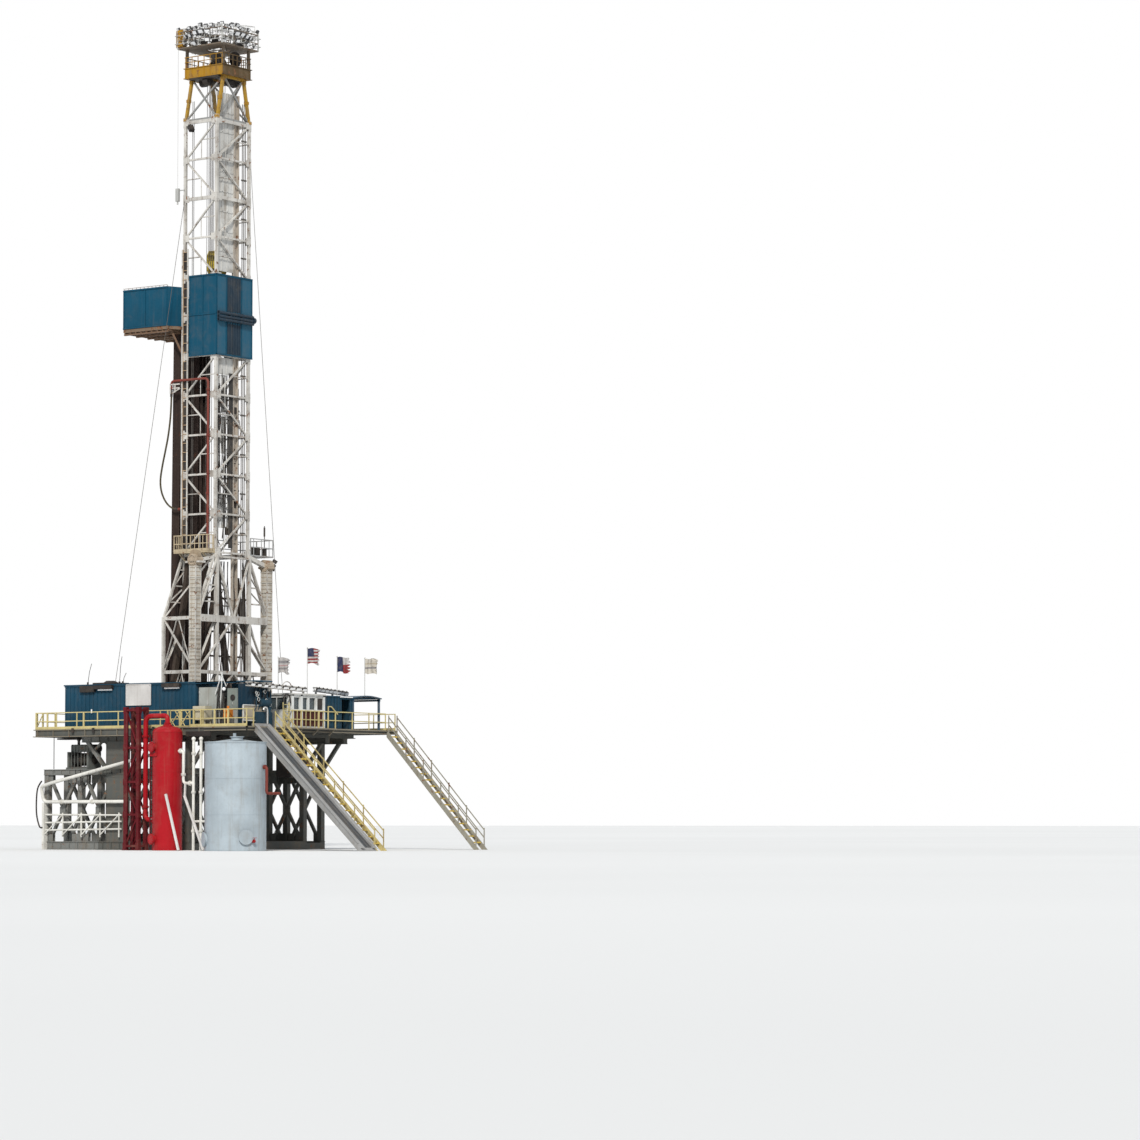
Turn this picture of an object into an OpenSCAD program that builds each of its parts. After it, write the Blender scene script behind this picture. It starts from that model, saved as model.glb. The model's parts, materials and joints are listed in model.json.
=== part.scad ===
// Land drilling rig with a bolted-up mast on a raised drill floor, at half its real size.
// All lengths are millimetres of the half-size model. X runs along the rig's long side,
// Y across it, and the well axis stands at well_x, well_y.

/* [Drill floor] */
// Height of the floor's top above the ground
floor_z = 3840; // [3600:10:4100]
// Thickness of the floor plate
floor_t = 40; // [20:5:80]
// Depth of the beams under the floor
beam_h = 200; // [180:10:300]
// Width of the beams under the floor
beam_w = 130; // [100:10:160]
// From the well to the floor's left edge
deck_left = 3100; // [3000:50:3250]
// From the well to the floor's right edge
deck_right = 5700; // [5500:50:5900]
// Reach of the floor past the near box
near_reach = 400; // [300:25:500]
// Reach of the floor past the far box
far_reach = 350; // [250:25:450]
// Bore of the rotary table
rotary_d = 476; // [300:2:560]
// Outer diameter of the rotary table
rotary_od = 900; // [700:10:1000]

/* [Substructure] */
// Width of one side box of the substructure
box_w = 1100; // [900:50:1300]
// Height of the long skid girders
skid_h = 260; // [200:10:320]
// Width of the chords and posts
chord_w = 180; // [140:10:220]
// Width of the bracing bars
brace_w = 90; // [70:5:110]
// From the well to the boxes' left ends
box_left = 3075; // [2950:25:3150]
// From the well to the boxes' right ends
box_right = 3050; // [2950:25:3150]
// From the well to the near box's outer side
box_near = 4825; // [4750:25:4950]
// From the well to the far box's outer side
box_far = 1950; // [1900:25:2050]
// Height of the lower girder at the boxes' left ends
step_z = 2570; // [2400:10:2700]
// Number of bays in a box
bays = 4; // [3:1:5]

/* [Mast] */
// Width of the upper mast along X, over the leg centres
mast_x = 1340; // [1250:10:1400]
// Width of the upper mast along Y, over the leg centres
mast_y = 1640; // [1600:10:1700]
// Section of a mast leg
leg_w = 90; // [80:5:110]
// Width of a girt
girt_w = 60; // [50:5:75]
// Width of a heavy girt
heavy_w = 110; // [90:5:130]
// Width of a mast brace
lace_w = 50; // [40:5:60]
// Height where the upper mast starts
mast_z = 9650; // [9400:50:9900]
// Height of one mast bay
panel_h = 1300; // [1200:10:1350]
// Number of bays in the upper mast
panels = 11; // [11:1:12]
// Height of the knee where the lower mast's legs turn upright
knee_z = 7500; // [7300:50:7700]
// Width of the lower mast along Y, over the leg centres
foot_y = 3620; // [3550:10:3700]
// Height of the lower girt
low_girt_z = 5750; // [5600:50:5900]
// Side of the ribbed columns
column_w = 250; // [220:10:280]
// Drop of the columns' tops below the upper mast's foot
column_drop = 380; // [300:20:460]
// Spacing of the columns' ribs
rib_pitch = 330; // [250:10:450]

/* [Crown] */
// Height of the crown section
crown_h = 1800; // [1600:50:1900]
// Width of the crown's top along Y, over the leg centres
crown_y = 1000; // [950:10:1100]
// Height of the crown beams
crown_beam_h = 350; // [300:10:400]
// Diameter of the crown sheaves
sheave_d = 480; // [440:10:520]
// Number of crown sheaves
sheaves = 4; // [3:1:5]
// Width of one sheave
sheave_w = 60; // [50:5:70]
// Pitch of the sheaves
sheave_pitch = 80; // [75:5:100]
// Diameter of the crown shaft
shaft_d = 110; // [90:5:130]
// Height of the crown platform over the crown beams
crown_deck_gap = 620; // [560:20:680]
// Reach of the crown platform past the beams
crown_reach = 300; // [250:10:380]
// Height of the crown's rails
crown_rail_h = 560; // [500:10:600]

/* [Racking board] */
// Height of the racking board's floor
board_z = 17050; // [16900:50:17200]
// From the well to the board's left end
board_left = 2865; // [2800:5:2950]
// From the well to the straight walls' right ends
board_right = 930; // [900:10:1000]
// Width of the board along Y
board_y = 2750; // [2650:50:2850]
// Height of the board's windwalls
wall_h = 1300; // [1150:50:1400]
// Thickness of the windwalls
wall_t = 40; // [30:5:60]
// Number of fingers on the board
fingers = 8; // [6:1:10]
// Width of a finger
finger_w = 50; // [40:5:60]

/* [Mast panels and platforms] */
// Height of the mast windwall's lower edge
screen_z = 16150; // [16000:50:16300]
// Height of the mast windwall
screen_h = 2650; // [2500:50:2750]
// Reach of the mast platform past the mast
walk_reach = 420; // [350:10:500]
// Width of the mast ladder
ladder_w = 225; // [200:5:260]
// Height of a ladder's rung step
rung_step = 300; // [250:10:350]

/* [Hoist] */
// Height of the travelling block's underside
block_z = 18850; // [18500:50:19100]
// Height of the travelling block
block_h = 850; // [800:10:900]
// Width of the travelling block along Y
block_y = 560; // [550:10:600]
// Thickness of the travelling block's cheek plates
cheek_t = 50; // [30:5:70]
// Length of the top drive
drive_h = 1700; // [1500:50:1900]
// Width of the top drive
drive_w = 520; // [460:10:560]
// Diameter of the drilling lines
line_d = 18; // [14:1:22]

/* [Pipework] */
// Diameter of the standpipe
stand_d = 80; // [60:5:100]
// Diameter of the rotary hose
hose_d = 60; // [50:2:64]
// Diameter of a racked pipe
rack_d = 64; // [56:2:70]
// Pitch of the racked pipes
rack_pitch = 130; // [110:5:140]
// Number of racked pipes along X on the far side of the board
rack_nx = 7; // [6:1:8]
// Number of racked pipes along X on the near side of the board
rack_near = 3; // [2:1:4]
// Number of rows of racked pipes on the near side, one less than on the far side
rack_ny = 3; // [2:1:3]

/* [Houses] */
// Left end of the doghouse, from the well
dog_left = 2325; // [2250:25:2400]
// Length of the doghouse
dog_l = 5500; // [5400:25:5600]
// Depth of the doghouse
dog_d = 1400; // [1300:50:1500]
// Height of the doghouse walls
dog_h = 1400; // [1300:50:1500]
// Walkway between the near rail and the houses
walk_w = 550; // [500:25:600]
// Thickness of the house walls
house_t = 40; // [30:5:60]
// Height of the driller's cabin and the sheds
cabin_h = 1040; // [1020:10:1200]
// Depth of the driller's cabin and the sheds along X
cabin_d = 1200; // [1100:50:1300]
// Length of the driller's cabin along Y
cabin_l = 1650; // [1600:50:1700]
// Length of the tool shed along Y
shed_l = 1435; // [1400:5:1450]
// Length of the canopy along Y
canopy_l = 1450; // [1400:25:1500]
// Width of a door
door_w = 450; // [400:10:500]
// Height of a door
door_h = 950; // [900:10:970]

/* [Rails and stairs] */
// Height of the floor's rails
rail_h = 550; // [500:10:600]
// Width of the rails' bars
rail_w = 28; // [24:2:36]
// Spacing of the rails' posts
post_pitch = 850; // [700:50:1000]
// Angle of the near stair
near_stair_a = 43; // [40:1:46]
// Angle of the far stair
far_stair_a = 46; // [42:1:50]
// Angle of the pipe slide
slide_a = 42; // [40:1:45]
// Width of a stair
stair_w = 480; // [420:10:520]
// Width of the pipe slide
slide_w = 700; // [600:50:800]
// Rise of one tread
tread_rise = 200; // [180:5:220]
// Depth of a stair's stringer
stringer_h = 150; // [120:10:180]

/* [Vessels] */
// Diameter of the gas separator
gas_d = 930; // [900:10:950]
// Height of the separator's straight shell
gas_h = 3660; // [3500:20:3800]
// Diameter of the storage tank
tank_d = 1880; // [1800:10:1900]
// Height of the tank's wall
tank_h = 3300; // [3200:20:3500]
// Thickness of the tank's wall
tank_t = 20; // [12:1:30]

/* [Hidden] */

// Gap between pieces that would otherwise share a curved or slanted face
seat = 0.3;
// Set-back of a lighter bar's face behind the bar that it joins
inset = 6;

deck_near = box_near + near_reach;
deck_far = box_far + far_reach;

// Plan of the whole site, so that its footprint is centred on the origin
near_run = floor_z / tan(near_stair_a);
far_run = floor_z / tan(far_stair_a);
slide_run = floor_z / tan(slide_a);
site_right = deck_right + max(near_run, far_run, slide_run);
tank_gap = 60;
tank_y = -deck_near - tank_d / 2 - tank_gap;
tank_x = 6105;
roof_lip = 15;
site_near = tank_y - tank_d / 2 - roof_lip;
site_far = deck_far;
well_x = (deck_left - site_right) / 2;
well_y = -(site_near + site_far) / 2;

// Colours
cream = [0.86, 0.84, 0.78];
blue = [0.08, 0.30, 0.45];
yellow = [0.85, 0.62, 0.12];
pale = [0.82, 0.74, 0.42];
olive = [0.42, 0.44, 0.40];
pipe_brown = [0.18, 0.12, 0.10];
red = [0.78, 0.10, 0.12];
grey = [0.75, 0.79, 0.82];

mast_top = mast_z + panels * panel_h;
crown_top = mast_top + crown_h;
crown_deck_z = crown_top + crown_deck_gap;
crown_bar = 110;
shaft_gap = 60;
shaft_rise = 60;
beam_z = floor_z - floor_t - beam_h;
hx = mast_x / 2;
hy = mast_y / 2;
fy = foot_y / 2;
column_z = mast_z - column_drop;

module site() {
    translate([well_x, well_y, 0])
        children();
}

// Square bar from a to b: w across the bar in the plane it leans in, t the other way
module bar(a, b, w, t) {
    d = b - a;
    translate(a)
        rotate([0, acos(d[2] / norm(d)), atan2(d[1], d[0])])
            translate([-w / 2, -t / 2, 0])
                cube([w, t, norm(d)]);
}

// Round bar from a to b
module rod(a, b, d, fn = 24) {
    v = b - a;
    translate(a)
        rotate([0, acos(v[2] / norm(v)), atan2(v[1], v[0])])
            cylinder(h = norm(v), d = d, $fn = fn);
}

// Box between two corners
module block(a, b) {
    translate(a)
        cube(b - a);
}

wide_column = 850;
strut_reach = 925;

// One long side box of the substructure between y0 and y0 + box_w
module skid_box(y0) {
    top = beam_z;
    pitch = (box_left + box_right) / bays;
    mid = wide_column / 2;
    for (y = [y0, y0 + box_w - chord_w]) {
        ym = y + chord_w / 2;
        block([-box_left, y, 0], [box_right, y + chord_w, skid_h]);
        block([-box_left, y, step_z - chord_w], [box_right, y + chord_w, step_z]);
        block([-mid - strut_reach - 100, y, top - chord_w],
            [box_right + strut_reach, y + chord_w, top]);
        for (i = [0:bays]) {
            x = box_post_x(i, pitch);
            block([x, y, 0], [x + chord_w, y + chord_w, x < -mid - chord_w ? step_z : top]);
        }
        for (i = [0:bays - 1]) {
            xa = -box_left + i * pitch + chord_w / 2;
            xb = xa + pitch - chord_w;
            bar([xa, ym, skid_h / 2], [xb, ym, step_z - chord_w / 2], brace_w, brace_w);
            bar([xb, ym, skid_h / 2], [xa, ym, step_z - chord_w / 2], brace_w, brace_w);
        }
        bar([-mid + 20, ym, step_z - chord_w / 2], [-mid - strut_reach, ym, top - chord_w / 2],
            brace_w + 20, brace_w + 20);
        bar([-mid - strut_reach * 0.7, ym, (step_z + top) / 2], [-mid - 180, ym, top - chord_w / 2],
            brace_w - 20, brace_w - 20);
        bar([box_right - chord_w / 2, ym, step_z - chord_w / 2],
            [box_right + strut_reach - 200, ym, top - chord_w / 2], brace_w + 20, brace_w + 20);
    }
    for (i = [0:bays]) {
        x = box_post_x(i, pitch);
        block([x, y0, 0], [x + chord_w, y0 + box_w, skid_h * 0.8]);
        block([x, y0, step_z - chord_w], [x + chord_w, y0 + box_w, step_z]);
        if (x > -mid - chord_w)
            block([x, y0, top - chord_w], [x + chord_w, y0 + box_w, top]);
    }
}

// Left side of post i of a box
function box_post_x(i, pitch) =
    -box_left + i * pitch - (i == 0 ? 0 : i == bays ? chord_w : chord_w / 2);

// Near box with a wide plate column in its outer side
module skid_near() {
    color(olive)
        site() {
            skid_box(-box_near);
            block([-wide_column / 2, -box_near, skid_h],
                [wide_column / 2, -box_near + chord_w, beam_z - chord_w]);
        }
}

module skid_far() {
    color(olive)
        site()
            skid_box(box_far - box_w);
}

// Cross girders that hold the two side boxes apart
module skid_spreader() {
    color(olive)
        site()
            for (x = [-box_left, box_right - chord_w])
                block([x, -box_near + box_w, 0], [x + chord_w, box_far - box_w, skid_h]);
}

wing_beam_h = 90;

// Grid of beams under the floor plate, shallower under the wing past the boxes' struts
module floor_beams() {
    z1 = floor_z - floor_t;
    side = rotary_od / 2;
    wing_x = box_right + strut_reach;
    color(olive)
        site() {
            for (y = [-deck_near, -box_near, -box_near + box_w - beam_w, -side - beam_w, side,
                    box_far - box_w, box_far - beam_w, deck_far - beam_w]) {
                block([-deck_left, y, beam_z], [wing_x, y + beam_w, z1]);
                block([wing_x - 10, y, z1 - wing_beam_h], [deck_right, y + beam_w, z1]);
            }
            for (x = [-deck_left, -box_left / 2, -side - beam_w, side, (box_right + side) / 2,
                    box_right - beam_w, wing_x - beam_w])
                block([x, -deck_near, beam_z], [x + beam_w, deck_far, z1]);
            for (x = [(wing_x + deck_right) / 2, deck_right - beam_w])
                block([x, -deck_near, z1 - wing_beam_h], [x + beam_w, deck_far, z1]);
        }
}

module drill_floor() {
    color([0.50, 0.44, 0.36])
        site()
            difference() {
                block([-deck_left, -deck_near, floor_z - floor_t], [deck_right, deck_far, floor_z]);
                translate([0, 0, floor_z - floor_t - 1])
                    cylinder(h = floor_t + 2, d = rotary_od - 100, $fn = 64);
            }
}

module rotary_table() {
    color([0.35, 0.33, 0.30])
        site()
            difference() {
                union() {
                    translate([0, 0, floor_z])
                        cylinder(h = 60, d = rotary_od, $fn = 64);
                    translate([0, 0, beam_z])
                        cylinder(h = floor_z - beam_z, d = rotary_od - 120, $fn = 64);
                }
                translate([0, 0, beam_z - 1])
                    cylinder(h = floor_z - beam_z + 62, d = rotary_d, $fn = 64);
            }
}

// Height of the centre of girt i, kept inside the section at both ends
function girt_z(i) = mast_z + i * panel_h + (i == 0 ? girt_w / 2 : i == panels ? -heavy_w / 2 : 0);

// One flat side of the upper mast in the XZ plane at y
module mast_side(y) {
    for (x = [-hx, hx])
        block([x - leg_w / 2, y - leg_w / 2, mast_z], [x + leg_w / 2, y + leg_w / 2, mast_top]);
    for (i = [0:panels]) {
        w = i == panels || i == panels - 2 ? heavy_w : girt_w;
        bar([-hx, y, girt_z(i)], [hx, y, girt_z(i)], w, girt_w);
    }
    for (i = [0:panels - 1]) {
        s = (panels - i) % 2 == 0 ? 1 : -1;
        bar([s * hx, y, girt_z(i)], [-s * hx, y, girt_z(i + 1)], lace_w, lace_w);
    }
}

module mast_near() {
    color(cream)
        site()
            mast_side(-hy);
}

module mast_far() {
    color(cream)
        site()
            mast_side(hy);
}

// Back of the upper mast between the legs
module mast_back() {
    in_y = hy - leg_w / 2;
    color(cream)
        site()
            intersection() {
                block([hx - leg_w / 2, -in_y, mast_z], [hx + leg_w / 2, in_y, mast_top]);
                union() {
                    for (i = [0:panels]) {
                        w = i == panels || i == panels - 2 ? heavy_w : girt_w;
                        bar([hx, -hy, girt_z(i)], [hx, hy, girt_z(i)], w, girt_w);
                    }
                    for (i = [0:panels - 1]) {
                        s = (panels - i) % 2 == 0 ? 1 : -1;
                        bar([hx, s * hy, girt_z(i)], [hx, -s * hy, girt_z(i + 1)],
                            lace_w, lace_w);
                    }
                }
            }
}

// Space taken by the column on side s, up to the mast's foot
module column_space(s) {
    translate([hx, s * fy, 0])
        block([-column_w / 2, -column_w / 2, floor_z - 1], [column_w / 2, column_w / 2, mast_z + 1]);
}

// Side s of the lower mast: two spread legs, upright feet, girts and braces
module lower_side(s) {
    difference() {
        intersection() {
            block([-hx - 200, -fy - 200, floor_z], [hx + 200, fy + 200, mast_z]);
            union() {
                for (x = [-hx, hx]) {
                    w = leg_w - 2 * inset;
                    bar([x, s * hy, mast_z + 60], [x, s * fy, knee_z], w, w - 2 * inset);
                    bar([x, s * hy, mast_z + 60], [x, s * hy, knee_z], lace_w, lace_w);
                    bar([x, s * fy, knee_z + 40], [x, s * fy, floor_z - 60], leg_w, leg_w);
                    block([x - w / 2, min(s * hy, s * fy) - 30, knee_z - w / 2],
                        [x + w / 2, max(s * hy, s * fy) + 30, knee_z + w / 2]);
                }
                block([-hx, s * hy - leg_w / 2, mast_z - leg_w],
                    [hx, s * hy + leg_w / 2, mast_z + 60]);
                bar([-hx, s * fy, knee_z], [hx, s * fy, knee_z], heavy_w, girt_w);
                bar([-hx, s * fy, low_girt_z], [hx, s * fy, low_girt_z], heavy_w, girt_w);
                bar([-hx, s * fy, knee_z], [hx, s * fy, low_girt_z], lace_w, lace_w);
                bar([hx, s * fy, low_girt_z], [-hx, s * fy, floor_z], lace_w, lace_w);
                bar([-hx, s * fy, knee_z], [hx, s * hy, mast_z], lace_w, lace_w);
            }
        }
        column_space(s);
    }
}

module lower_mast_near() {
    color(cream)
        site()
            lower_side(-1);
}

module lower_mast_far() {
    color(cream)
        site()
            lower_side(1);
}

// Back of the lower mast: the knee girt, the lower girt and the braces between the columns
module lower_mast_back() {
    in_y = fy - column_w / 2;
    t = 90;
    x = hx + leg_w / 2 + t / 2;
    color(cream)
        site()
            intersection() {
                block([x - t, -in_y, floor_z], [x + t, in_y, mast_z]);
                union() {
                    bar([x, -fy, knee_z], [x, fy, knee_z], 230, t);
                    bar([x, -fy, low_girt_z], [x, fy, low_girt_z], heavy_w, t);
                    bar([x, -hy, mast_z - 120], [x, hy, mast_z - 120], girt_w, t);
                    for (s = [-1, 1]) {
                        bar([x, s * hy, floor_z - 60], [x, s * hy, mast_z + 60], leg_w, t - inset);
                        bar([x, 0, knee_z], [x, s * fy, low_girt_z], lace_w, t - 3 * inset);
                        bar([x, 0, low_girt_z], [x, s * fy, floor_z], lace_w, t - 3 * inset);
                        bar([x, 0, knee_z], [x, s * hy, mast_z - 100], lace_w, t - 4 * inset);
                        bar([x, s * fy, knee_z], [x, s * hy, mast_z - 150], lace_w, t - 5 * inset);
                    }
                }
            }
}

// Whether a rib at z stays clear of what joins the column at the girts and the knee
function rib_fits(z) = abs(z - low_girt_z) > 300 && (z < knee_z - 300 || z > knee_z + 560);

// Ribbed column on side s
module column(s) {
    translate([hx, s * fy, 0]) {
        block([-column_w / 2, -column_w / 2, floor_z], [column_w / 2, column_w / 2, column_z]);
        for (z = [floor_z + rib_pitch:rib_pitch:column_z - 80])
            if (rib_fits(z))
                block([-column_w / 2 - 18, -column_w / 2 - 18, z],
                    [column_w / 2 + 18, column_w / 2 + 18, z + 50]);
    }
}

// Both columns: a sheave on the near head and a wedge bracket on the far one
module columns() {
    color(cream)
        site() {
            for (s = [-1, 1])
                column(s);
            translate([hx, -fy, column_z]) {
                for (y = [-120, 80])
                    block([-60, y, 0], [60, y + 40, 270]);
                translate([0, 80, 240])
                    rotate([90, 0, 0])
                        cylinder(h = 160, d = 380, $fn = 48);
            }
            translate([hx - 60, fy, column_z])
                rotate([90, 0, 90])
                    linear_extrude(120)
                        polygon([[-column_w / 2, 0], [column_w / 2, 0], [column_w / 2, 60],
                            [-column_w / 2, 260]]);
        }
}

// Tapered head of the mast
module crown_section() {
    cy = crown_y / 2;
    top = crown_top - crown_beam_h;
    low = mast_top + girt_w / 2 - inset;
    high = top - girt_w / 2 + inset;
    color(yellow)
        site()
            intersection() {
                block([-hx - leg_w, -hy - leg_w, mast_top], [hx + leg_w, hy + leg_w, top]);
                union() {
                    for (x = [-hx, hx], s = [-1, 1])
                        bar([x, s * hy, mast_top - 60], [x, s * cy, top + 60], leg_w, leg_w);
                    for (s = [-1, 1]) {
                        bar([-hx, s * hy, mast_top], [hx, s * cy, top], lace_w, lace_w);
                        bar([hx, s * hy, mast_top], [-hx, s * cy, top], lace_w, lace_w);
                        bar([-hx, s * hy, low], [hx, s * hy, low], girt_w, girt_w);
                        bar([-hx, s * cy, high], [hx, s * cy, high], girt_w, leg_w - 3 * inset);
                    }
                    bar([hx, -hy, low], [hx, hy, low], girt_w + inset, girt_w - inset);
                    bar([hx, -hy, mast_top], [hx, cy, top], lace_w, lace_w);
                    bar([hx, hy, mast_top], [hx, -cy, top], lace_w, lace_w);
                    for (x = [-hx, hx])
                        bar([x, -cy, high], [x, cy, high], girt_w + inset, leg_w - 2 * inset);
                }
            }
}

function sheave_span() = (sheaves - 1) * sheave_pitch + sheave_w;

// Beams over the crown section that carry the sheaves
module crown_beams() {
    z0 = crown_top - crown_beam_h;
    ex = hx + 160;
    ey = crown_y / 2 + 200;
    in_x = sheave_span() / 2 + shaft_gap;
    color(yellow)
        site() {
            for (s = [-1, 1]) {
                block([s * ex - (s > 0 ? crown_bar : 0), -ey, z0],
                    [s * ex + (s > 0 ? 0 : crown_bar), ey, crown_top]);
                block([-ex, s * ey - (s > 0 ? crown_bar : 0), z0],
                    [ex, s * ey + (s > 0 ? 0 : crown_bar), crown_top]);
                block([s * in_x - (s > 0 ? 0 : crown_bar), -ey, z0],
                    [s * in_x + (s > 0 ? crown_bar : 0), ey, crown_top]);
                block([s * in_x - (s > 0 ? 0 : crown_bar), -shaft_d, crown_top],
                    [s * in_x + (s > 0 ? crown_bar : 0), shaft_d, crown_top + shaft_rise + shaft_d]);
            }
        }
}

// Outline of half a sheave with its rope groove
module sheave_profile(d, w) {
    polygon([[0, 0], [d / 2, 0], [d / 2 - w / 3, w / 2], [d / 2, w], [0, w]]);
}

// Row of sheaves along X, centred on a shaft that reaches to both sides of it by reach
module sheave_row(reach) {
    rotate([0, 90, 0]) {
        for (i = [0:sheaves - 1])
            translate([0, 0, i * sheave_pitch - sheave_span() / 2])
                rotate_extrude($fn = 64)
                    sheave_profile(sheave_d, sheave_w);
        translate([0, 0, -reach])
            cylinder(h = 2 * reach, d = shaft_d, $fn = 32);
    }
}

// Sheaves of the crown block on their shaft
module crown_sheaves() {
    color([0.30, 0.27, 0.22])
        site()
            translate([0, 0, crown_top + shaft_rise])
                sheave_row(sheave_span() / 2 + shaft_gap);
}

crown_ex = hx + crown_reach;
crown_ey = crown_y / 2 + crown_reach + 140;

// Walkway, posts and rails round the crown
module crown_platform() {
    hole_x = sheave_span() / 2 + 180;
    hole_y = sheave_d / 2 + 60;
    z = crown_deck_z;
    color([0.72, 0.72, 0.70])
        site() {
            difference() {
                block([-crown_ex, -crown_ey, z], [crown_ex, crown_ey, z + 40]);
                block([-hole_x, -hole_y, z - 1], [hole_x, hole_y, z + 41]);
            }
            for (x = [-hx - 105, hx + 105], y = [-crown_y / 2 - 145, crown_y / 2 + 145])
                block([x - 40, y - 40, crown_top], [x + 40, y + 40, z + 10]);
            rail_ring(crown_ex, crown_ey, z, crown_rail_h);
        }
}

// Rails round a rectangle of half sizes ex and ey
module rail_ring(ex, ey, z, h) {
    for (s = [-1, 1], i = [0:3]) {
        t = i / 3;
        x = -ex + t * (2 * ex - rail_w);
        y = -ey + t * (2 * ey - rail_w);
        block([x, s > 0 ? ey - rail_w : -ey, z], [x + rail_w, s > 0 ? ey : -ey + rail_w, z + h]);
        block([s > 0 ? ex - rail_w : -ex, y, z], [s > 0 ? ex : -ex + rail_w, y + rail_w, z + h]);
    }
    for (k = [1, 2], s = [-1, 1]) {
        zr = z + h * k / 2 - rail_w;
        block([-ex, s > 0 ? ey - rail_w : -ey, zr], [ex, s > 0 ? ey : -ey + rail_w, zr + rail_w]);
        block([s > 0 ? ex - rail_w : -ex, -ey, zr], [s > 0 ? ex : -ex + rail_w, ey, zr + rail_w]);
    }
}

// Floodlights on the crown's top rail
module crown_lights() {
    z = crown_deck_z + crown_rail_h;
    color([0.30, 0.30, 0.30])
        site() {
            for (i = [0:4], s = [-1, 1])
                lamp([(i / 2 - 1) * (crown_ex - rail_w / 2), s * (crown_ey - rail_w / 2), z]);
            for (i = [1:3], s = [-1, 1])
                lamp([s * (crown_ex - rail_w / 2), (i / 2 - 1) * (crown_ey - rail_w / 2), z]);
        }
}

// Floodlight on a short stalk at p
module lamp(p) {
    translate(p) {
        block([-10, -10, 0], [10, 10, 60]);
        block([-60, -60, 50], [60, 60, 170]);
    }
}

board_t = 110;
lane = 170;
finger_pitch = (board_y / 2 - lane - 250) / (fingers / 2 + 1);

// Frame, fingers and diving board of the racking board
module racking_board() {
    hb = board_y / 2;
    xi = -hx - leg_w / 2;
    color([0.50, 0.42, 0.32])
        site()
            intersection() {
                block([-board_left, -hb, board_z], [xi, hb, board_z + board_t]);
                union() {
                    block([-board_left, -hb, board_z], [-board_left + 500, hb, board_z + board_t]);
                    block([-board_left, -lane, board_z], [-board_right, lane, board_z + board_t]);
                    for (s = [-1, 1]) {
                        block([-board_left, s > 0 ? hb - 250 : -hb, board_z],
                            [-board_right, s > 0 ? hb : -hb + 250, board_z + board_t]);
                        bar([-board_right - 80, s * (hb - 60), board_z + board_t / 2],
                            [xi + 60, s * hy, board_z + board_t / 2],
                            board_t - 2 * inset, 120);
                        for (i = [1:fingers / 2]) {
                            y = s * (lane + i * finger_pitch);
                            block([-board_left + 300, y - finger_w / 2, board_z],
                                [-board_right, y + finger_w / 2, board_z + board_t]);
                        }
                    }
                }
            }
}

// Windwalls round the racking board
module racking_walls() {
    hb = board_y / 2;
    xi = -hx - leg_w / 2;
    color(blue)
        site()
            translate([0, 0, board_z + board_t])
                linear_extrude(height = wall_h)
                    difference() {
                        polygon([[-board_left, -hb], [-board_right, -hb], [xi, -hy - 30],
                            [xi, hy + 30], [-board_right, hb], [-board_left, hb]]);
                        polygon([[-board_left + wall_t, -hb + wall_t],
                            [-board_right - wall_t / 2, -hb + wall_t], [xi, -hy - 30 + wall_t * 1.3],
                            [xi + 1, -hy - 30 + wall_t * 1.3], [xi + 1, hy + 30 - wall_t * 1.3],
                            [xi, hy + 30 - wall_t * 1.3], [-board_right - wall_t / 2, hb - wall_t],
                            [-board_left + wall_t, hb - wall_t]]);
                    }
}

screen_left = 415;

// Windwalls on three sides of the mast beside the racking board
module mast_screen() {
    ox = hx + leg_w / 2;
    oy = hy + leg_w / 2;
    color(blue)
        site()
            translate([0, 0, screen_z]) {
                block([ox, -oy - wall_t, 0], [ox + wall_t, oy + wall_t, screen_h]);
                for (s = [-1, 1])
                    block([-screen_left, s > 0 ? oy : -oy - wall_t, 0],
                        [ox, s > 0 ? oy + wall_t : -oy, screen_h]);
            }
}

walk_t = 40;

// Walkways on the near and far sides of the mast
module mast_platform() {
    oy = hy + leg_w / 2;
    ox = hx + leg_w / 2;
    far = fy + 300;
    color(pale)
        site()
            translate([0, 0, mast_z]) {
                block([-ox, -oy - walk_reach, 0], [ox, -oy, walk_t]);
                block([-ox, oy, 0], [ox, far, walk_t]);
                edge_rail([-ox, -oy - walk_reach], [ox, -oy - walk_reach], walk_t, rail_h);
                edge_rail([-ox, -oy - walk_reach], [-ox, -oy - 60], walk_t, rail_h);
                edge_rail([ox - rail_w, -oy - walk_reach], [ox - rail_w, -oy - 60], walk_t, rail_h);
                edge_rail([-ox, far - rail_w], [ox, far - rail_w], walk_t, rail_h);
                edge_rail([ox - rail_w, oy + 60], [ox - rail_w, far], walk_t, rail_h);
                edge_rail([-ox, oy + 60], [-ox, far], walk_t, rail_h);
            }
}

// Rail from plan point a to b on a floor at z: posts, knee rail and top rail
module edge_rail(a, b, z, h) {
    d = [max(b[0] - a[0], rail_w), max(b[1] - a[1], rail_w)];
    len = max(d[0], d[1]);
    n = max(1, round(len / post_pitch));
    for (i = [0:n]) {
        p = [a[0] + (d[0] - rail_w) * i / n, a[1] + (d[1] - rail_w) * i / n];
        block([p[0], p[1], z], [p[0] + rail_w, p[1] + rail_w, z + h]);
    }
    for (k = [1, 2])
        block([a[0], a[1], z + h * k / 2 - rail_w], [a[0] + d[0], a[1] + d[1], z + h * k / 2]);
}

ladder_t = 30;

// Ladder on the near side of the mast
module mast_ladder() {
    x = -hx - leg_w / 2;
    y = -hy - leg_w / 2;
    z0 = mast_z + walk_t;
    z1 = screen_z + screen_h + 900;
    color([0.62, 0.52, 0.40])
        site() {
            for (dx = [0, ladder_w - ladder_t])
                block([x + dx, y - ladder_t, z0], [x + dx + ladder_t, y, z1]);
            for (z = [z0 + rung_step:rung_step:z1 - ladder_t])
                block([x, y - ladder_t, z], [x + ladder_w, y, z + ladder_t * 0.7]);
        }
}

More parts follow.
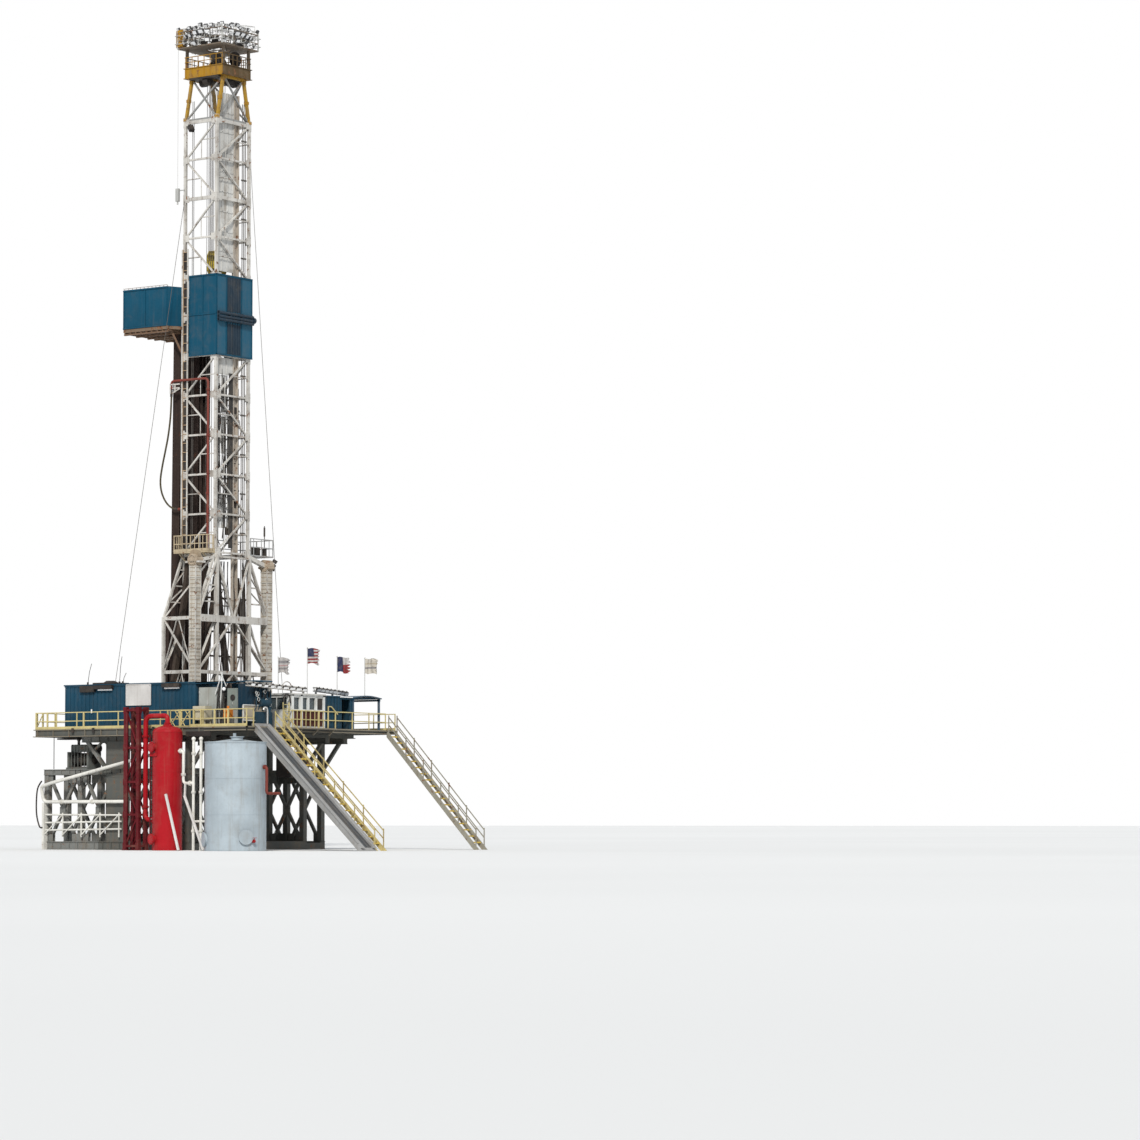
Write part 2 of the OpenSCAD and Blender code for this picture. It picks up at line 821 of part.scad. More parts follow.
left_line_z = 21300;
right_line_z = 22950;
taut_d = 16;
taut_seat = 1.5;

// Tight lines from the mast to the doghouse roof and to the floor
module mast_lines() {
    oy = hy + leg_w / 2 + taut_d / 2 + seat;
    color([0.25, 0.25, 0.25])
        site() {
            rod([-hx, -oy, left_line_z],
                [-dog_left + 1500, dog_y + dog_d / 2, floor_z + dog_h + roof_t + taut_seat],
                taut_d, 8);
            rod([hx, oy, right_line_z], [hx + 1205, hy + 505, floor_z + taut_seat], taut_d, 8);
        }
}

stand_y = -hy - leg_w / 2 - ladder_t - 20 - stand_d / 2;
stand_x = 455;
neck_x = -1125;
neck_z = 15375;
hose_top = 15100;
hose_end_x = -900;
hose_end_z = 11150;

// Round pipe along points p with a wider ball in every bend
module pipe_run(p, d, fn = 24) {
    for (i = [0:len(p) - 2])
        rod(p[i], p[i + 1], d, fn);
    for (i = [1:1:len(p) - 2])
        translate(p[i])
            sphere(d = d * 1.12, $fn = 32);
}

// Standpipe up the near side, its gooseneck, clamps and the hose's end fitting
module standpipe() {
    color([0.55, 0.22, 0.16])
        site() {
            pipe_run([[stand_x, stand_y, mast_z + walk_t], [stand_x, stand_y, neck_z],
                [neck_x, stand_y, neck_z], [neck_x, stand_y, hose_top]], stand_d);
            for (i = [1:4])
                block([stand_x - 20, stand_y, girt_z(i) - 20],
                    [stand_x + 20, -hy - girt_w / 2, girt_z(i) + 20]);
            block([neck_x, stand_y - 20, neck_z - 260],
                [-hx - leg_w / 2, stand_y + 20, neck_z - 220]);
            block([-hx - leg_w / 2 - 40, stand_y - 20, neck_z - 260],
                [-hx - leg_w / 2, -hy, neck_z - 220]);
            rod([-hx - leg_w / 2, -hy, hose_end_z], [hose_end_x, -hy, hose_end_z], stand_d);
        }
}

// Route of the rotary hose in plan x, y and height, from the gooseneck to its end fitting
hose_points = [[neck_x, stand_y, hose_top], [neck_x, stand_y, 14800], [-1160, stand_y, 14200],
    [-1250, stand_y, 13600], [-1370, stand_y, 13100], [-1500, stand_y, 12600],
    [-1580, stand_y, 12150], [-1560, -940, 11800], [-1450, -910, 11500], [-1280, -870, 11280],
    [-1080, -835, 11170], [hose_end_x, -hy, hose_end_z]];

function smooth(p, i, t) =
    let (a = p[max(i - 1, 0)], b = p[i], c = p[i + 1], d = p[min(i + 2, len(p) - 1)])
    0.5 * ((2 * b) + (c - a) * t + (2 * a - 5 * b + 4 * c - d) * t * t
        + (3 * b - a - 3 * c + d) * t * t * t);

function path(p, n) = [for (i = [0:len(p) - 2], k = [0:n - 1]) smooth(p, i, k / n), p[len(p) - 1]];

function along(p, i) =
    i == 0 ? [0, 0, -1]
    : i == len(p) - 1 ? [1, 0, 0]
    : (p[i + 1] - p[i - 1]) / norm(p[i + 1] - p[i - 1]);

// Tube of n sides swept along a path that stays near an XZ plane
module sweep(p, d, n) {
    rings = [for (i = [0:len(p) - 1])
        let (t = along(p, i), side = cross([0, 1, 0], t), u = side / norm(side), v = cross(t, u))
        for (k = [0:n - 1]) p[i] + d / 2 * (cos(k * 360 / n) * u + sin(k * 360 / n) * v)];
    m = len(p);
    faces = concat([[for (k = [0:n - 1]) n - 1 - k]], [[for (k = [0:n - 1]) (m - 1) * n + k]],
        [for (i = [0:m - 2], k = [0:n - 1])
            [i * n + k, i * n + (k + 1) % n, (i + 1) * n + (k + 1) % n, (i + 1) * n + k]]);
    polyhedron(points = rings, faces = faces, convexity = 4);
}

module rotary_hose() {
    color([0.16, 0.15, 0.13])
        site()
            sweep(path(hose_points, 3), hose_d, 10);
}

service_d = 50;

// Service lines clipped to the inside of the mast's back
module service_lines() {
    x = hx - girt_w / 2 - service_d / 2;
    z0 = mast_z + 200;
    z1 = screen_z - 550;
    color([0.20, 0.18, 0.17])
        site() {
            for (y = [-70, 0, 70])
                rod([x, y, z0], [x, y, z1], service_d, 16);
            for (i = [1:panels - 1])
                if (girt_z(i) > z0 && girt_z(i) < z1)
                    block([x - service_d / 2 - 15, -100, girt_z(i) - 25],
                        [x - service_d / 2 + 15, 100, girt_z(i) + 25]);
        }
}

// Travelling block: two cheek plates, sheaves between them and the bail below
module travelling_block() {
    r = block_y / 2;
    in_x = sheave_span() / 2;
    color([0.70, 0.60, 0.20])
        site()
            translate([0, 0, block_z]) {
                for (x = [-in_x - cheek_t, in_x])
                    translate([x, 0, 0])
                        rotate([90, 0, 90])
                            linear_extrude(cheek_t)
                                polygon([[-r * 0.55, 0], [r * 0.55, 0], [r, r * 0.7],
                                    [r, block_h - r * 0.6], [r * 0.7, block_h], [-r * 0.7, block_h],
                                    [-r, block_h - r * 0.6], [-r, r * 0.7]]);
                translate([0, 0, block_h - r])
                    sheave_row(in_x);
                block([-in_x, -r * 0.5, 0], [in_x, r * 0.5, 180]);
            }
}

// Top drive under the block: links, motor housing and quill
module top_drive() {
    link = 260;
    color([0.55, 0.48, 0.20])
        site()
            translate([0, 0, block_z - link]) {
                for (y = [-110, 110])
                    block([-40, y - 25, 0], [40, y + 25, link]);
                block([-drive_w / 2, -drive_w / 2, -drive_h * 0.6], [drive_w / 2, drive_w / 2, 0]);
                translate([0, 0, -drive_h * 0.8])
                    cylinder(h = drive_h * 0.2, d = drive_w * 0.7, $fn = 32);
                translate([0, 0, -drive_h])
                    cylinder(h = drive_h * 0.2, d = drive_w * 0.3, $fn = 32);
            }
}

// Drilling lines in the grooves of the crown's sheaves and to those of the travelling block
module drilling_lines() {
    z0 = block_z + block_h - block_y / 2;
    y = sheave_d / 2 - sheave_w / 3 + (line_d / 2 + seat) * sqrt(13) / 3;
    color([0.28, 0.26, 0.24])
        site()
            for (i = [0:sheaves - 1], s = [-1, 1])
                translate([(i - (sheaves - 1) / 2) * sheave_pitch, s * y, z0])
                    cylinder(h = crown_top + shaft_rise - z0, d = line_d, $fn = 13);
}

rack_lean = 120;

// Stands of drill pipe racked between the fingers, fewer on the near side, feet on the floor
module racked_pipe() {
    top = board_z + board_t + 400;
    color(pipe_brown)
        site()
            for (s = [-1, 1], j = [0:rack_ny + (s > 0 ? 0 : -1)],
                    i = [0:(s > 0 ? rack_nx : rack_near) - 1]) {
                y = s * (lane + (j + 0.5) * finger_pitch);
                x = -board_right - rack_d - i * rack_pitch;
                intersection() {
                    rod([x - rack_lean, y, floor_z - 100], [x, y, top], rack_d, 16);
                    block([x - rack_lean - 200, y - rack_d, floor_z],
                        [x + 200, y + rack_d, top - 20]);
                }
            }
}

dog_y = -deck_near + walk_w;
dog_right = dog_l - dog_left;

// Walls of the doghouse with a doorway in its far side and one in its left end
module doghouse_walls() {
    z = floor_z;
    color(blue)
        site()
            difference() {
                block([-dog_left, dog_y, z], [dog_right, dog_y + dog_d, z + dog_h]);
                block([-dog_left + house_t, dog_y + house_t, z - 1],
                    [dog_right - house_t, dog_y + dog_d - house_t, z + dog_h + 1]);
                block([dog_right - 900 - door_w, dog_y + dog_d - house_t - 1, z - 1],
                    [dog_right - 900, dog_y + dog_d + 1, z + door_h]);
                block([-dog_left - 1, dog_y + 500, z - 1],
                    [-dog_left + house_t + 1, dog_y + 500 + door_w, z + door_h]);
            }
}

roof_t = 40;

module doghouse_roof() {
    lip = 40;
    color(blue)
        site()
            block([-dog_left - lip, dog_y - lip, floor_z + dog_h],
                [dog_right + lip, dog_y + dog_d + lip, floor_z + dog_h + roof_t]);
}

// Closed doors in the doghouse's doorways
module doghouse_doors() {
    z = floor_z;
    color([0.20, 0.36, 0.45])
        site() {
            block([dog_right - 900 - door_w + seat, dog_y + dog_d - house_t + 5, z],
                [dog_right - 900 - seat, dog_y + dog_d - 5, z + door_h - seat]);
            block([-dog_left + 5, dog_y + 500 + seat, z],
                [-dog_left + house_t - 5, dog_y + 500 + door_w - seat, z + door_h - seat]);
        }
}

// White cabinet and instrument cabinet beside the doghouse
module cabinets() {
    x0 = dog_right + 125;
    x1 = navy_x - 20;
    color(cream)
        site() {
            block([x0, dog_y, floor_z], [x0 + 720, dog_y + 600, floor_z + 1250]);
            block([x1 - 400, dog_y, floor_z], [x1, dog_y + 500, floor_z + 1200]);
        }
}

navy_l = 560;
navy_d = 900;
navy_h = 1350;
navy_x = deck_right - 250 - navy_l;

// Small house with its doorway in the far side
module navy_house() {
    y1 = dog_y + navy_d;
    color([0.06, 0.13, 0.27])
        site()
            difference() {
                block([navy_x, dog_y, floor_z], [navy_x + navy_l, y1, floor_z + navy_h]);
                block([navy_x + house_t, dog_y + house_t, floor_z - 1],
                    [navy_x + navy_l - house_t, y1 - house_t, floor_z + navy_h - house_t]);
                block([navy_x + 60, y1 - house_t - 1, floor_z - 1],
                    [navy_x + 60 + door_w, y1 + 1, floor_z + door_h]);
            }
}

cabin_gap = 50;
cabin_x = deck_right - cabin_gap - cabin_d;
cabin_y = canopy_y() - shed_l - cabin_l;
sill = 560;
head = 960;
window_n = 4;
cabin_door = 600;

function canopy_y() = deck_far - stair_w - 260 - canopy_l;

// Window openings of the driller's cabin: on the outer side and on both ends
module cabin_windows(depth) {
    pitch = (cabin_l - 80) / window_n;
    for (i = [0:window_n - 1])
        block([cabin_x + cabin_d - depth, cabin_y + 80 + i * pitch, floor_z + sill],
            [cabin_x + cabin_d + 1, cabin_y + i * pitch + pitch, floor_z + head]);
    block([cabin_x + 200, cabin_y - 1, floor_z + sill],
        [cabin_x + cabin_d - 200, cabin_y + depth, floor_z + head]);
}

module driller_cabin() {
    color([0.85, 0.86, 0.86])
        site()
            difference() {
                block([cabin_x, cabin_y, floor_z],
                    [cabin_x + cabin_d, cabin_y + cabin_l, floor_z + cabin_h]);
                block([cabin_x + house_t, cabin_y + house_t, floor_z - 1],
                    [cabin_x + cabin_d - house_t, cabin_y + cabin_l - house_t,
                        floor_z + cabin_h + 1]);
                cabin_windows(house_t + 1);
                block([cabin_x - 1, cabin_y + cabin_door, floor_z - 1],
                    [cabin_x + house_t + 1, cabin_y + cabin_door + door_w, floor_z + door_h]);
            }
}

// Glass behind the cabin's window openings
module cabin_glass() {
    g = 8;
    color([0.35, 0.45, 0.50, 0.5])
        site() {
            block([cabin_x + cabin_d - house_t - g, cabin_y + house_t + 20, floor_z + sill - 20],
                [cabin_x + cabin_d - house_t, cabin_y + cabin_l - house_t, floor_z + head + 20]);
            block([cabin_x + 150, cabin_y + house_t, floor_z + sill - 20],
                [cabin_x + cabin_d - 150, cabin_y + house_t + g, floor_z + head + 20]);
        }
}

module cabin_roof() {
    lip = 60;
    color([0.80, 0.80, 0.78])
        site()
            block([cabin_x - lip, cabin_y - lip, floor_z + cabin_h],
                [cabin_x + cabin_d + lip, cabin_y + cabin_l, floor_z + cabin_h + roof_t]);
}

// Tool shed with its doorway on the outer side
module tool_shed() {
    y = cabin_y + cabin_l;
    color(blue)
        site()
            difference() {
                block([cabin_x, y, floor_z], [cabin_x + cabin_d, y + shed_l, floor_z + cabin_h]);
                block([cabin_x + house_t, y + house_t, floor_z - 1],
                    [cabin_x + cabin_d - house_t, y + shed_l - house_t,
                        floor_z + cabin_h - house_t]);
                block([cabin_x + cabin_d - house_t - 1, y + shed_l - 150 - door_w, floor_z - 1],
                    [cabin_x + cabin_d + 1, y + shed_l - 150, floor_z + door_h]);
            }
}

canopy_rise = 70;
canopy_drop = 40;
canopy_t = 30;

// Canopy with a bowed roof on four posts
module canopy() {
    post = 60;
    n = 12;
    z = floor_z + cabin_h - canopy_drop;
    arc = [for (i = [0:n]) [canopy_l * i / n, canopy_rise * sin(180 * i / n)]];
    color([0.20, 0.28, 0.32])
        site() {
            for (x = [cabin_x, cabin_x + cabin_d - post], y = [0, canopy_l - post - 40])
                block([x, canopy_y() + 20 + y, floor_z],
                    [x + post, canopy_y() + 20 + y + post, z + 20]);
            translate([cabin_x - 60, canopy_y(), z])
                rotate([90, 0, 90])
                    linear_extrude(cabin_d + 120)
                        polygon(concat(arc, [for (i = [0:n]) arc[n - i] + [0, canopy_t]]));
        }
}

// Rails along the four edges of the floor
module deck_rails() {
    color(pale)
        site()
            translate([0, 0, floor_z]) {
                edge_rail([-deck_left, -deck_near], [deck_right, -deck_near], 0, rail_h);
                edge_rail([-deck_left, -deck_near + 60], [-deck_left, deck_far - 60], 0, rail_h);
                edge_rail([-deck_left, deck_far - rail_w], [deck_right, deck_far - rail_w], 0, rail_h);
                edge_rail([deck_right - rail_w, near_stair_y + stair_w + 30],
                    [deck_right - rail_w, deck_far - stair_w - 30], 0, rail_h);
                edge_rail([deck_right - rail_w, -deck_near], [deck_right - rail_w, slide_y - 20],
                    0, rail_h);
            }
}

slide_y = -deck_near + 375;
near_stair_y = slide_y + slide_w + 210;
side_t = 40;

// Outline of an inclined member from the floor's edge to the ground
module slope_profile(a, h) {
    polygon([[0, floor_z], [floor_z / tan(a), 0], [floor_z / tan(a) - h / sin(a), 0],
        [0, floor_z - h / cos(a)]]);
}

// Upright plate with the outline of a slope, t thick from y on
module slope_plate(y, t, a, h) {
    translate([deck_right, y + t, 0])
        rotate([90, 0, 0])
            linear_extrude(t)
                slope_profile(a, h);
}

slide_lip = 90;

// Pipe slide: a flat bed between two raised sides
module pipe_slide() {
    edge = 130;
    color([0.62, 0.63, 0.63])
        site() {
            slope_plate(slide_y, slide_w, slide_a, 120);
            for (y = [slide_y, slide_y + slide_w - edge])
                translate([0, 0, slide_lip])
                    intersection() {
                        slope_plate(y, edge, slide_a, slide_lip * 2);
                        block([deck_right, y, 0], [deck_right + slide_run, y + edge, floor_z]);
                    }
        }
}

// Raised gate panel behind the head of the pipe slide, on two posts
module slide_gate() {
    x = navy_x + navy_l + 15;
    y0 = -deck_near + 60;
    y1 = slide_y + slide_w;
    color([0.72, 0.68, 0.58])
        site()
            translate([0, 0, floor_z]) {
                block([x, y0, 190], [x + 40, y1, 640]);
                for (y = [y0, y1 - 50])
                    block([x, y, 0], [x + 40, y + 50, 190]);
            }
}

// Treads of one stair
module treads(y, a) {
    n = floor((floor_z - 60) / tread_rise);
    depth = 190;
    for (i = [1:n]) {
        z = floor_z - i * tread_rise;
        x = deck_right + i * tread_rise / tan(a);
        block([x - depth, y + side_t, z - 25], [x - 5, y + stair_w - side_t, z]);
    }
}

module stair_treads() {
    color(yellow)
        site() {
            treads(near_stair_y, near_stair_a);
            treads(deck_far - stair_w, far_stair_a);
        }
}

// One side of a stair: stringer, posts and rail
module stair_side(y, a) {
    n = 5;
    slope_plate(y, side_t, a, stringer_h);
    for (i = [0:n]) {
        x = 60 + i * (floor_z / tan(a) - 200) / n;
        z = floor_z - x * tan(a);
        block([deck_right + x, y + 6, z - 80],
            [deck_right + x + rail_w, y + 6 + rail_w, z + rail_h]);
    }
    for (h = [rail_h / 2, rail_h - rail_w])
        translate([0, 0, h])
            intersection() {
                slope_plate(y + 6, rail_w, a, rail_w);
                block([deck_right + 60, y, 0],
                    [deck_right + floor_z / tan(a) - 140 + rail_w, y + side_t, floor_z]);
            }
}

module stair_sides() {
    color(pale)
        site() {
            for (y = [near_stair_y, near_stair_y + stair_w - side_t])
                stair_side(y, near_stair_a);
            for (y = [deck_far - stair_w, deck_far - side_t])
                stair_side(y, far_stair_a);
        }
}

gas_x = 3055;
gas_gap = 185;
gas_y = -deck_near - gas_gap - gas_d / 2;
gas_leg = 900;
gas_rise = 305;
gas_pipe_d = 150;
head_h = 220;

module gas_vessel() {
    color(red)
        site()
            translate([gas_x, gas_y, 0])
                difference() {
                    cylinder(h = gas_h, d = gas_d, $fn = 64);
                    translate([0, 0, 60])
                        cylinder(h = gas_h, d = gas_d - 60, $fn = 64);
                }
}

// Domed head of the separator with its nozzle
module gas_head() {
    n = 10;
    r = gas_d / 2;
    color(red)
        site()
            translate([gas_x, gas_y, gas_h])
                rotate_extrude($fn = 64)
                    polygon(concat([[0, 0]],
                        [for (i = [0:n]) [r * cos(90 * i / n), head_h * sin(90 * i / n)]]));
}

// Braced frame beside the separator
module gas_frame() {
    w = 520;
    d = 340;
    post = 110;
    clear = 10;
    h = gas_h + head_h + gas_rise + 255;
    x0 = gas_x - gas_leg - gas_pipe_d / 2 - clear - w - post;
    y0 = gas_y - (d + post) / 2;
    color([0.45, 0.07, 0.08])
        site() {
            for (x = [x0, x0 + w], y = [y0, y0 + d])
                block([x, y, 0], [x + post, y + post, h]);
            for (z = [0.03, 0.25, 0.48, 0.72, 0.985]) {
                for (y = [y0, y0 + d])
                    block([x0, y, z * h - 35], [x0 + w + post, y + post, z * h + 35]);
                for (x = [x0, x0 + w])
                    block([x, y0, z * h - 35], [x + post, y0 + d + post, z * h + 35]);
            }
            for (i = [0:3], y = [y0 + post / 2, y0 + d + post / 2])
                bar([x0 + (i % 2) * w + post / 2, y, [0.03, 0.25, 0.48, 0.72][i] * h],
                    [x0 + ((i + 1) % 2) * w + post / 2, y, [0.25, 0.48, 0.72, 0.985][i] * h], 50, 50);
            for (z = [0.25 * h - 35, 0.72 * h - 35])
                block([x0 + w + post / 2, gas_y - 30, z],
                    [gas_x - gas_leg - gas_pipe_d / 2 - seat, gas_y + 30, z + 70]);
        }
}

// Vent line from the separator's head over and down to its foot
module gas_pipe() {
    x1 = gas_x - gas_leg;
    z0 = 950;
    z1 = gas_h + head_h + gas_rise;
    color(red)
        site()
            pipe_run([[gas_x, gas_y, gas_h + head_h + seat], [gas_x, gas_y, z1], [x1, gas_y, z1],
                [x1, gas_y, z0], [gas_x - gas_d / 2 - seat, gas_y, z0]], gas_pipe_d, 32);
}

module tank_shell() {
    color(grey)
        site()
            translate([tank_x, tank_y, 0])
                difference() {
                    cylinder(h = tank_h, d = tank_d, $fn = 96);
                    translate([0, 0, 20])
                        cylinder(h = tank_h, d = tank_d - 2 * tank_t, $fn = 96);
                }
}

module tank_roof() {
    color(grey)
        site()
            translate([tank_x, tank_y, tank_h])
                union() {
                    cylinder(h = 25, d = tank_d + 2 * roof_lip, $fn = 96);
                    cylinder(h = 110, d1 = tank_d, d2 = 300, $fn = 96);
                }
}

// White pipes along the rig's near side, and those from the separator to the tank
module white_pipes() {
    d = 110;
    y = -box_near - d;
    side = gas_x + gas_d / 2;
    x1 = side + 600;
    pair = 300;
    feed_d = d - 40;
    feed_z = 900;
    drop_x = side + 190;
    drop_top = gas_h - 580;
    drop_z = drop_top - 1000;
    riser_z = tank_h + 150;
    low_z = 1530;
    mid_z = 2020;
    high_z = 2700;
    low_end = 500;
    high_end = -340;
    tank_wall = tank_x - sqrt(tank_d * tank_d / 4 - pow(gas_y - tank_y - feed_d / 2, 2));
    color([0.82, 0.81, 0.77])
        site() {
            rod([-deck_left + d, y, low_z], [low_end, y, low_z], d, 32);
            rod([-deck_left + d, y - d - 20, mid_z], [high_end, y - d - 20, high_z], d, 32);
            for (p = [[100 - box_left, high_z - 650], [high_end - d, high_z]])
                block([p[0] - 40, y - d * 1.6, 0], [p[0] + 40, -box_near, p[1]]);
            pipe_run([[side + seat, gas_y, drop_top], [drop_x, gas_y, drop_top],
                [drop_x, gas_y, drop_z], [x1, gas_y, drop_z]], d - 30);
            for (x = [x1, x1 + pair]) {
                rod([x, gas_y, 0], [x, gas_y, riser_z], d - 20, 32);
                translate([x, gas_y, riser_z])
                    sphere(d = d, $fn = 32);
            }
            rod([x1, gas_y, feed_z], [tank_wall - seat, gas_y, feed_z], feed_d, 32);
        }
}

winch_x = -2275;

// Winch on the near box's low end: base, cheeks, drum and motor
module winch() {
    w = 915;
    cheek = 80;
    drum_d = 380;
    base_t = 60;
    edge = 140;
    color([0.40, 0.40, 0.38])
        site()
            translate([winch_x, -box_near, step_z]) {
                block([0, edge, 0], [w, box_w - edge, base_t]);
                for (x = [0, w - cheek])
                    block([x, 200, base_t], [x + cheek, 800, 560]);
                translate([cheek, 500, 320])
                    rotate([0, 90, 0])
                        cylinder(h = w - 2 * cheek, d = drum_d, $fn = 40);
                block([0, 380, 560], [w, 620, 780]);
            }
}

flag_w = 600;
flag_h = 480;
flag_t = 12;
pole_d = 24;
pole_seat = 0.8;

// Foot of each flagpole in plan, its height over the floor, and the height of its top
function flag_spots() = let (
        x = cabin_x + 875, roof = cabin_h + roof_t,
        bow = cabin_h - canopy_drop + canopy_t + canopy_rise * sin(120) + pole_seat)
    [[cabin_x + 60, cabin_y + cabin_l * 0.44, roof, 2260],
    [x, cabin_y + cabin_l * 0.715, roof, 2550],
    [x, cabin_y + cabin_l + shed_l * 0.728, cabin_h, 2330],
    [x + 60, canopy_y() + canopy_l * 2 / 3, bow, 2330]];

module flagpoles() {
    color([0.85, 0.85, 0.85])
        site()
            for (p = flag_spots())
                translate([p[0], p[1], floor_z + p[2]])
                    cylinder(h = p[3] - p[2], d = pole_d, $fn = 16);
}

// Plain flags that stream from the poles' tops
module flags() {
    color([0.80, 0.80, 0.80])
        site()
            for (p = flag_spots())
                translate([p[0] + pole_d / 2 + seat, p[1], floor_z + p[3] - flag_h - 20])
                    block([0, -flag_t / 2, 0], [flag_w, flag_t / 2, flag_h]);
}

skid_near();
skid_far();
skid_spreader();
floor_beams();
drill_floor();
rotary_table();
mast_near();
mast_far();
mast_back();
lower_mast_near();
lower_mast_far();
lower_mast_back();
columns();
crown_section();
crown_beams();
crown_sheaves();
crown_platform();
crown_lights();
racking_board();
racking_walls();
mast_screen();
mast_platform();
mast_ladder();
mast_lines();
standpipe();
rotary_hose();
service_lines();
travelling_block();
top_drive();
drilling_lines();
racked_pipe();
doghouse_walls();
doghouse_roof();
doghouse_doors();
cabinets();
navy_house();
driller_cabin();
cabin_glass();
cabin_roof();
tool_shed();
canopy();
deck_rails();
pipe_slide();
slide_gate();
stair_treads();
stair_sides();
gas_vessel();
gas_head();
gas_frame();
gas_pipe();
tank_shell();
tank_roof();
white_pipes();
winch();
flagpoles();
flags();
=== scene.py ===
import json
import random
from math import atan, cos, pi, radians, sin, sqrt, tan

import bpy
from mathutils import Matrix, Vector


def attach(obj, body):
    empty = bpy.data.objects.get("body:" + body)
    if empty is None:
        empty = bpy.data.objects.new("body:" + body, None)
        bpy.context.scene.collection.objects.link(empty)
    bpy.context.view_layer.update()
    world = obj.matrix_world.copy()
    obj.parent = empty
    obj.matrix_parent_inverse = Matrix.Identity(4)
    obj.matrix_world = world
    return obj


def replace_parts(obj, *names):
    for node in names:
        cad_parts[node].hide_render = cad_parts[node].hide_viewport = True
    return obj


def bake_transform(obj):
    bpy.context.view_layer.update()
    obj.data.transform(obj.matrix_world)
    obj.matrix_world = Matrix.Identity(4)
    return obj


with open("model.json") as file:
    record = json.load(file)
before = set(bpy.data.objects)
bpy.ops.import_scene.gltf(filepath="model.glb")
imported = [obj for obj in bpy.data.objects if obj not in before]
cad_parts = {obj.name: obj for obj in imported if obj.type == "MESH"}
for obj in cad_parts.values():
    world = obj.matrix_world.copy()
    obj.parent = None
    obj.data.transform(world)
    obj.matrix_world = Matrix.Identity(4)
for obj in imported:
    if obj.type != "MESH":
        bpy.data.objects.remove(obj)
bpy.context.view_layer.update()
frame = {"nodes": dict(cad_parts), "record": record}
NODES = frame["nodes"]

# The well axis in the shared frame, the height of the drill floor, and the directions
WX, WY = -3.432376, 2.44
FLOOR_Z = 3.84
X, Y, Z = (1, 0, 0), (0, 1, 0), (0, 0, 1)
UP = Vector(Z)


def at(x, y, z=0.0):
    """Point given in metres from the well axis."""
    return Vector((WX + x, WY + y, z))


def linked(name, data):
    """New object of the scene that holds the data."""
    o = bpy.data.objects.new(name, data)
    bpy.context.scene.collection.objects.link(o)
    return o


# Camera: where it stands from the well axis, where it looks, and its lens in the photo's pixels
CAM_X, CAM_Y, CAM_Z = 81.225, -95.875, 0.85
LOOK_X, LOOK_Y = -0.572, 0.8203
PHOTO_SIDE, FOCAL_PIXELS, HORIZON_BELOW = 1140.0, 3812.7, 253.0
SHIFT_X, SHIFT_Y = -0.0037, 0.07


def make_camera():
    data = bpy.data.cameras.new("camera")
    data.sensor_width, data.lens = 36.0, 120.4
    data.shift_x, data.shift_y = SHIFT_X, SHIFT_Y
    data.clip_start, data.clip_end = 1.0, 2000.0
    cam = linked("camera", data)
    cam.location = (WX + CAM_X, WY + CAM_Y, CAM_Z)
    tilt = atan((HORIZON_BELOW - SHIFT_Y * PHOTO_SIDE) / FOCAL_PIXELS)
    look = Vector((LOOK_X, LOOK_Y, 0.0)).normalized() * cos(tilt)
    look.z = sin(tilt)
    cam.rotation_euler = look.to_track_quat("-Z", "Y").to_euler()
    bpy.context.scene.camera = cam


make_camera()


# Directions and circles
def square_to(axis, up=Z, other=Y, least=0.05):
    """Unit vector square to the axis and to up, or to the other one where the axis runs along up."""
    side = axis.cross(Vector(up))
    if side.length < least:
        side = axis.cross(Vector(other))
    return side.normalized()


def turns(n, start=0.0):
    """n equal angles round a circle, the first one by start steps on."""
    return [2 * pi * (k + start) / n for k in range(n)]


def heading(a):
    """Level direction at the angle a."""
    return Vector((cos(a), sin(a), 0))


def circle(centre, s, v, r, n):
    """n points round the centre, in the plane of the unit vectors s and v."""
    return [centre + (s * cos(a) + v * sin(a)) * r for a in turns(n)]


def quads(rows, n, closed=False):
    """Faces between rows of n points each, and back to the first row when closed."""
    return [(i * n + k, (i + 1) % rows * n + k, (i + 1) % rows * n + (k + 1) % n, i * n + (k + 1) % n)
            for i in range(rows if closed else rows - 1) for k in range(n)]


